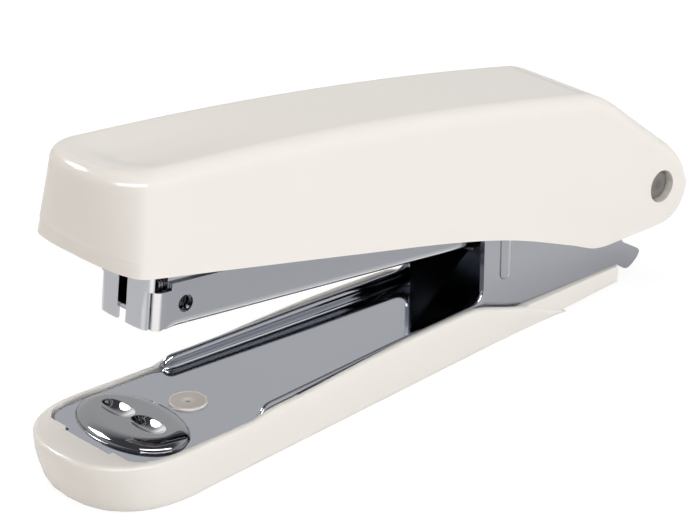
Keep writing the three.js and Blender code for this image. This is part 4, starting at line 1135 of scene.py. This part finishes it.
cover_rows = [0, 0.03, 0.08, 0.13, 0.138, 0.145, 0.152, 0.16, 0.168, 0.2, 0.27, 0.35, 0.45, 0.55]
cover_rows += [0.65, 0.75, 0.84, 0.92, 1]
roof_rows = [0.02, 0.05, 0.09] + spread(0.14, 1, 18)
cover_x = [5.4, 5.34, 5.2, 4.9, 4.4, 3.8, 2.9, 2, 1, 0, -1, -2, -3, -4, -5, -6.5, -8, -9.4, -10.6]
cover_x += [-11.8, -13, -14.2, -15.4, -17] + spread(-19, -93, 37)
columns = [cover_column(x, None) for x in cover_x]
columns += [cover_column(None, share) for share in spread(1, 0, 32)]
cover = bmesh.new()
bent_grid(cover, [list(row) for row in zip(*columns)])
middles = [(face, face.calc_center_median()) for face in cover.faces]
open_rear = [face for face, at in middles if at.x > 2.9 and at.y > -9.0]
bmesh.ops.delete(cover, geom=open_rear, context="FACES")
punch(cover, 0, 0, WINDOW, lambda x, z: -cover_half(z))
both_sides(cover)
handle_cover = put_in_place(
    cover, "handle_cover_moulding", ivory, "handle", "handle_cover", sharp=40
)
give_thickness(handle_cover, COVER_WALL)
soft_edges(handle_cover, 0.5, 3, 50)


# ---- Handle frame -------------------------------------------------------------------------------
# The steel channel inside the handle, folded from 0.7 mm sheet and plated. Its round ears turn on
# the pin, and the wall folded down at its front carries the driver.

FRAME_HALF, FRAME_FRONT, FRAME_SHEET, ROOF, ROOF_BEND = 6.8, -89.65, 0.7, 8.9, 1.1
frame_foot = [(FRAME_FRONT, 5.6), (-40, 1), (-14, -3.2)]
folded = bmesh.new()
along = [(x, along_curve(frame_foot, x)) for x in spread(FRAME_FRONT, -14, 40)]
rows = [
    [(x, -FRAME_HALF, foot + (ROOF - ROOF_BEND - foot) * t) for x, foot in along]
    for t in spread(0, 1, 6)
]
for turn in spread(15, 90, 5):
    a = math.radians(turn)
    y, z = -FRAME_HALF + ROOF_BEND * (1 - math.cos(a)), ROOF - ROOF_BEND * (1 - math.sin(a))
    rows.append([(x, y, z) for x, _ in along])
half_roof = (-4.275, -2, 0)
rows += [[(x, y, ROOF) for x, _ in along] for y in half_roof]
bent_grid(folded, rows)
ear_line = [(-14, -3.2), (-4, -3.5)] + ear(-100, 81, 10) + [(-14, 7.8)]
folded.faces.new([folded.verts.new((x, -FRAME_HALF, z)) for x, z in ear_line])
front_wall = [(FRAME_FRONT, 5.6), (FRAME_FRONT, 7), (FRAME_FRONT, 8.3), (FRAME_FRONT + 0.1, 8.7)]
front_wall += [(FRAME_FRONT + 0.4, ROOF)]
bent_grid(folded, [[(x, y, z) for y in half_roof] for x, z in front_wall])
both_sides(folded)
handle_frame = put_in_place(
    folded, "handle_channel", chrome, "handle", "handle_frame", sharp=40
)
give_thickness(handle_frame, FRAME_SHEET)
soft_edges(handle_frame, 0.12, 2, 50)


# ---- Driver blade -------------------------------------------------------------------------------
# A hardened steel blade, as wide as a staple, that shears one staple off the strip and drives it
# through the paper. Its working edge is ground square.

DRIVER_FRONT, DRIVER_SHEET = -90.25, 0.5
form = [(-3.6, 8.9), (-4.275, 8.3), (-4.275, -1.25), (4.275, -1.25), (4.275, 8.3), (3.6, 8.9)]
blade = bmesh.new()
cut_sheet(blade, [(DRIVER_FRONT, y, z) for y, z in form], (DRIVER_SHEET, 0, 0))
bmesh.ops.recalc_face_normals(blade, faces=blade.faces)
driver_blade = put_in_place(
    blade, "ground_driver", bare_steel, "handle", "driver_blade"
)
soft_edges(driver_blade, 0.06)


# ---- Driver rivets ------------------------------------------------------------------------------
# Two small steel rivets that join the driver to the folded front of the handle frame. They are
# flush in the driver's front and headed behind the frame's wall.

shank = [(0, DRIVER_FRONT), (0.75, DRIVER_FRONT), (0.8, -90.2), (0.8, -88.9), (1.2, -88.9)]
shank += [(1.2, -88.7), (1.05, -88.5), (0.7, -88.42), (0, -88.4)]
RIVET_HEIGHT = 6.8
for side_name, y in (("near", -2.6), ("far", 2.6)):
    stud = bmesh.new()
    turned(stud, shank, Matrix.Translation((0, y, RIVET_HEIGHT - ROD_Z)) @ LENGTHWISE, 32)
    put_in_place(
        stud,
        "driver_stud_" + side_name,
        bare_steel,
        "handle",
        "driver_rivet_" + side_name,
    )


# ---- Handle spring ------------------------------------------------------------------------------
# The leaf that lifts the handle off the magazine: spring steel riveted under the frame's roof, with
# its curved tip resting on the rail.

handle_bend = [(-64.5, 2.24), (-62, 1.54), (-60, 1.94), (-35, 7.85), (-33, 8.15), (-25, 8.15)]
handle_leaf = put_in_place(
    leaf_spring(handle_bend, 5),
    "handle_leaf_spring",
    spring_steel,
    "handle",
    "handle_spring",
)
soft_edges(handle_leaf, 0.08)


# ---- Handle spring rivet ------------------------------------------------------------------------
# The same domed steel rivet as in the base, headed over through the leaf and the frame's roof. Only
# its lower head shows when the handle stands open.

handle_stud = bmesh.new()
turned(handle_stud, domed_rivet(7.7, 8.95), Matrix.Translation((-29, 0, 0)), 40)
put_in_place(
    handle_stud, "handle_leaf_rivet", bare_steel, "handle", "handle_spring_rivet"
)


# ---- Studio -------------------------------------------------------------------------------------
# A plain pale floor that runs out to white, and a soft world that metal sees as a white studio
# with a dim room on its open side. Four softboxes light the stapler; two windows show only in its
# gloss.

floor_mesh = bpy.data.meshes.new("floor")
floor = bpy.data.objects.new("floor", floor_mesh)
bpy.context.scene.collection.objects.link(floor)
bm = bmesh.new()
bmesh.ops.create_grid(bm, x_segments=1, y_segments=1, size=3)
bm.to_mesh(floor_mesh)
bm.free()
floor_finish = bpy.data.materials.new("pale_floor")
floor_finish.use_nodes = True
nodes, links = floor_finish.node_tree.nodes, floor_finish.node_tree.links
shader = nodes["Principled BSDF"]
shader.inputs["Base Color"].default_value = (0.86, 0.86, 0.86, 1)
shader.inputs["Roughness"].default_value = 0.9
shader.inputs["Specular IOR Level"].default_value = 0.1
# the camera sees most of the floor's own glow, so that it runs out to white; gloss sees a little
seen = nodes.new("ShaderNodeLightPath")
glow = nodes.new("ShaderNodeEmission")
glow.inputs["Strength"].default_value = 1.12
glowing = nodes.new("ShaderNodeMath")
glowing.operation = "MAXIMUM"
for socket, (ray, amount) in enumerate((("Is Camera Ray", 0.8), ("Is Glossy Ray", 0.2))):
    part = nodes.new("ShaderNodeMath")
    part.operation = "MULTIPLY"
    part.inputs[1].default_value = amount
    links.new(seen.outputs[ray], part.inputs[0])
    links.new(part.outputs[0], glowing.inputs[socket])
mix = nodes.new("ShaderNodeMixShader")
links.new(glowing.outputs[0], mix.inputs[0])
links.new(shader.outputs[0], mix.inputs[1])
links.new(glow.outputs[0], mix.inputs[2])
links.new(mix.outputs[0], nodes["Material Output"].inputs["Surface"])
floor_mesh.materials.append(floor_finish)

world = bpy.data.worlds.new("soft_studio")
bpy.context.scene.world = world
world.use_nodes = True
nodes, links = world.node_tree.nodes, world.node_tree.links
where = nodes.new("ShaderNodeTexCoord")
open_side = nodes.new("ShaderNodeVectorMath")
open_side.operation = "DOT_PRODUCT"
open_side.inputs[1].default_value = (-0.38, -0.3, 0.87)
links.new(where.outputs["Generated"], open_side.inputs[0])
fall = nodes.new("ShaderNodeValToRGB")
bright_end, dim_end = fall.color_ramp.elements
bright_end.position, bright_end.color = 0.22, (1, 1, 1, 1)
dim_end.position, dim_end.color = 0.62, (0.14, 0.14, 0.16, 1)
links.new(open_side.outputs["Value"], fall.inputs["Fac"])
soften = nodes.new("ShaderNodeMix")
soften.data_type = "RGBA"
soften.inputs["Factor"].default_value = 0.35
soften.inputs["A"].default_value = (1, 0.89, 0.79, 1)
links.new(fall.outputs["Color"], soften.inputs["B"])
plain = nodes["Background"]
plain.inputs["Strength"].default_value = 0.26
links.new(soften.outputs["Result"], plain.inputs["Color"])
room = nodes.new("ShaderNodeBackground")
room.inputs["Strength"].default_value = 0.75
links.new(fall.outputs["Color"], room.inputs["Color"])
white = nodes.new("ShaderNodeBackground")
white.inputs["Color"].default_value = (1, 1, 1, 1)
seen = nodes.new("ShaderNodeLightPath")
shown = plain
for ray, light in (("Is Glossy Ray", room), ("Is Camera Ray", white)):
    mix = nodes.new("ShaderNodeMixShader")
    links.new(seen.outputs[ray], mix.inputs[0])
    links.new(shown.outputs[0], mix.inputs[1])
    links.new(light.outputs[0], mix.inputs[2])
    shown = mix
links.new(shown.outputs[0], nodes["World Output"].inputs["Surface"])


def softbox(name, place, size, power, mirrored, tint=(1, 1, 1)):
    """A lamp that either lights the object or is only mirrored in its gloss."""
    data = bpy.data.lights.new(name, "AREA")
    data.shape = "RECTANGLE"
    data.size, data.size_y = size
    data.energy = power
    data.color = tint
    lamp = bpy.data.objects.new(name, data)
    lamp.location = place
    towards = Vector((0, 0, 0.02)) - Vector(place)
    lamp.rotation_euler = towards.to_track_quat("-Z", "Y").to_euler()
    lamp.visible_camera = False
    lamp.visible_glossy = mirrored
    lamp.visible_diffuse = not mirrored
    bpy.context.scene.collection.objects.link(lamp)


softbox("side_box", (0.3, -1.0, 0.2), (0.9, 0.5), 4.7, False)
softbox("high_box", (-0.25, -0.69, 0.7), (0.9, 0.4), 3.8, False)
softbox("top_box", (0.1, 0.2, 1.2), (0.7, 0.5), 5.2, False, (1, 0.975, 0.95))
softbox("fill_box", (-0.8, 0.6, 0.35), (0.6, 0.5), 2.8, False, (1, 0.925, 0.86))
softbox("left_window", (-0.38, 0.69, 0.62), (0.34, 0.3), 4.5, True)
softbox("near_window", (-0.4, -0.63, 0.68), (1.4, 0.24), 12.0, True)

camera_data = bpy.data.cameras.new("camera")
camera_data.lens = 160.07
camera_data.sensor_width = 36
camera_data.clip_start = 0.01
camera = bpy.data.objects.new("camera", camera_data)
bpy.context.scene.collection.objects.link(camera)
forward = Vector((0.605842, 0.661234, -0.442409))
right = Vector((0.731662, -0.681466, -0.016584))
turned_round = Matrix((right, right.cross(forward), -forward)).transposed().to_4x4()
camera.matrix_world = Matrix.Translation((-0.257640, -0.277797, 0.202520)) @ turned_round
bpy.context.scene.camera = camera
bpy.context.scene.view_settings.view_transform = "Standard"
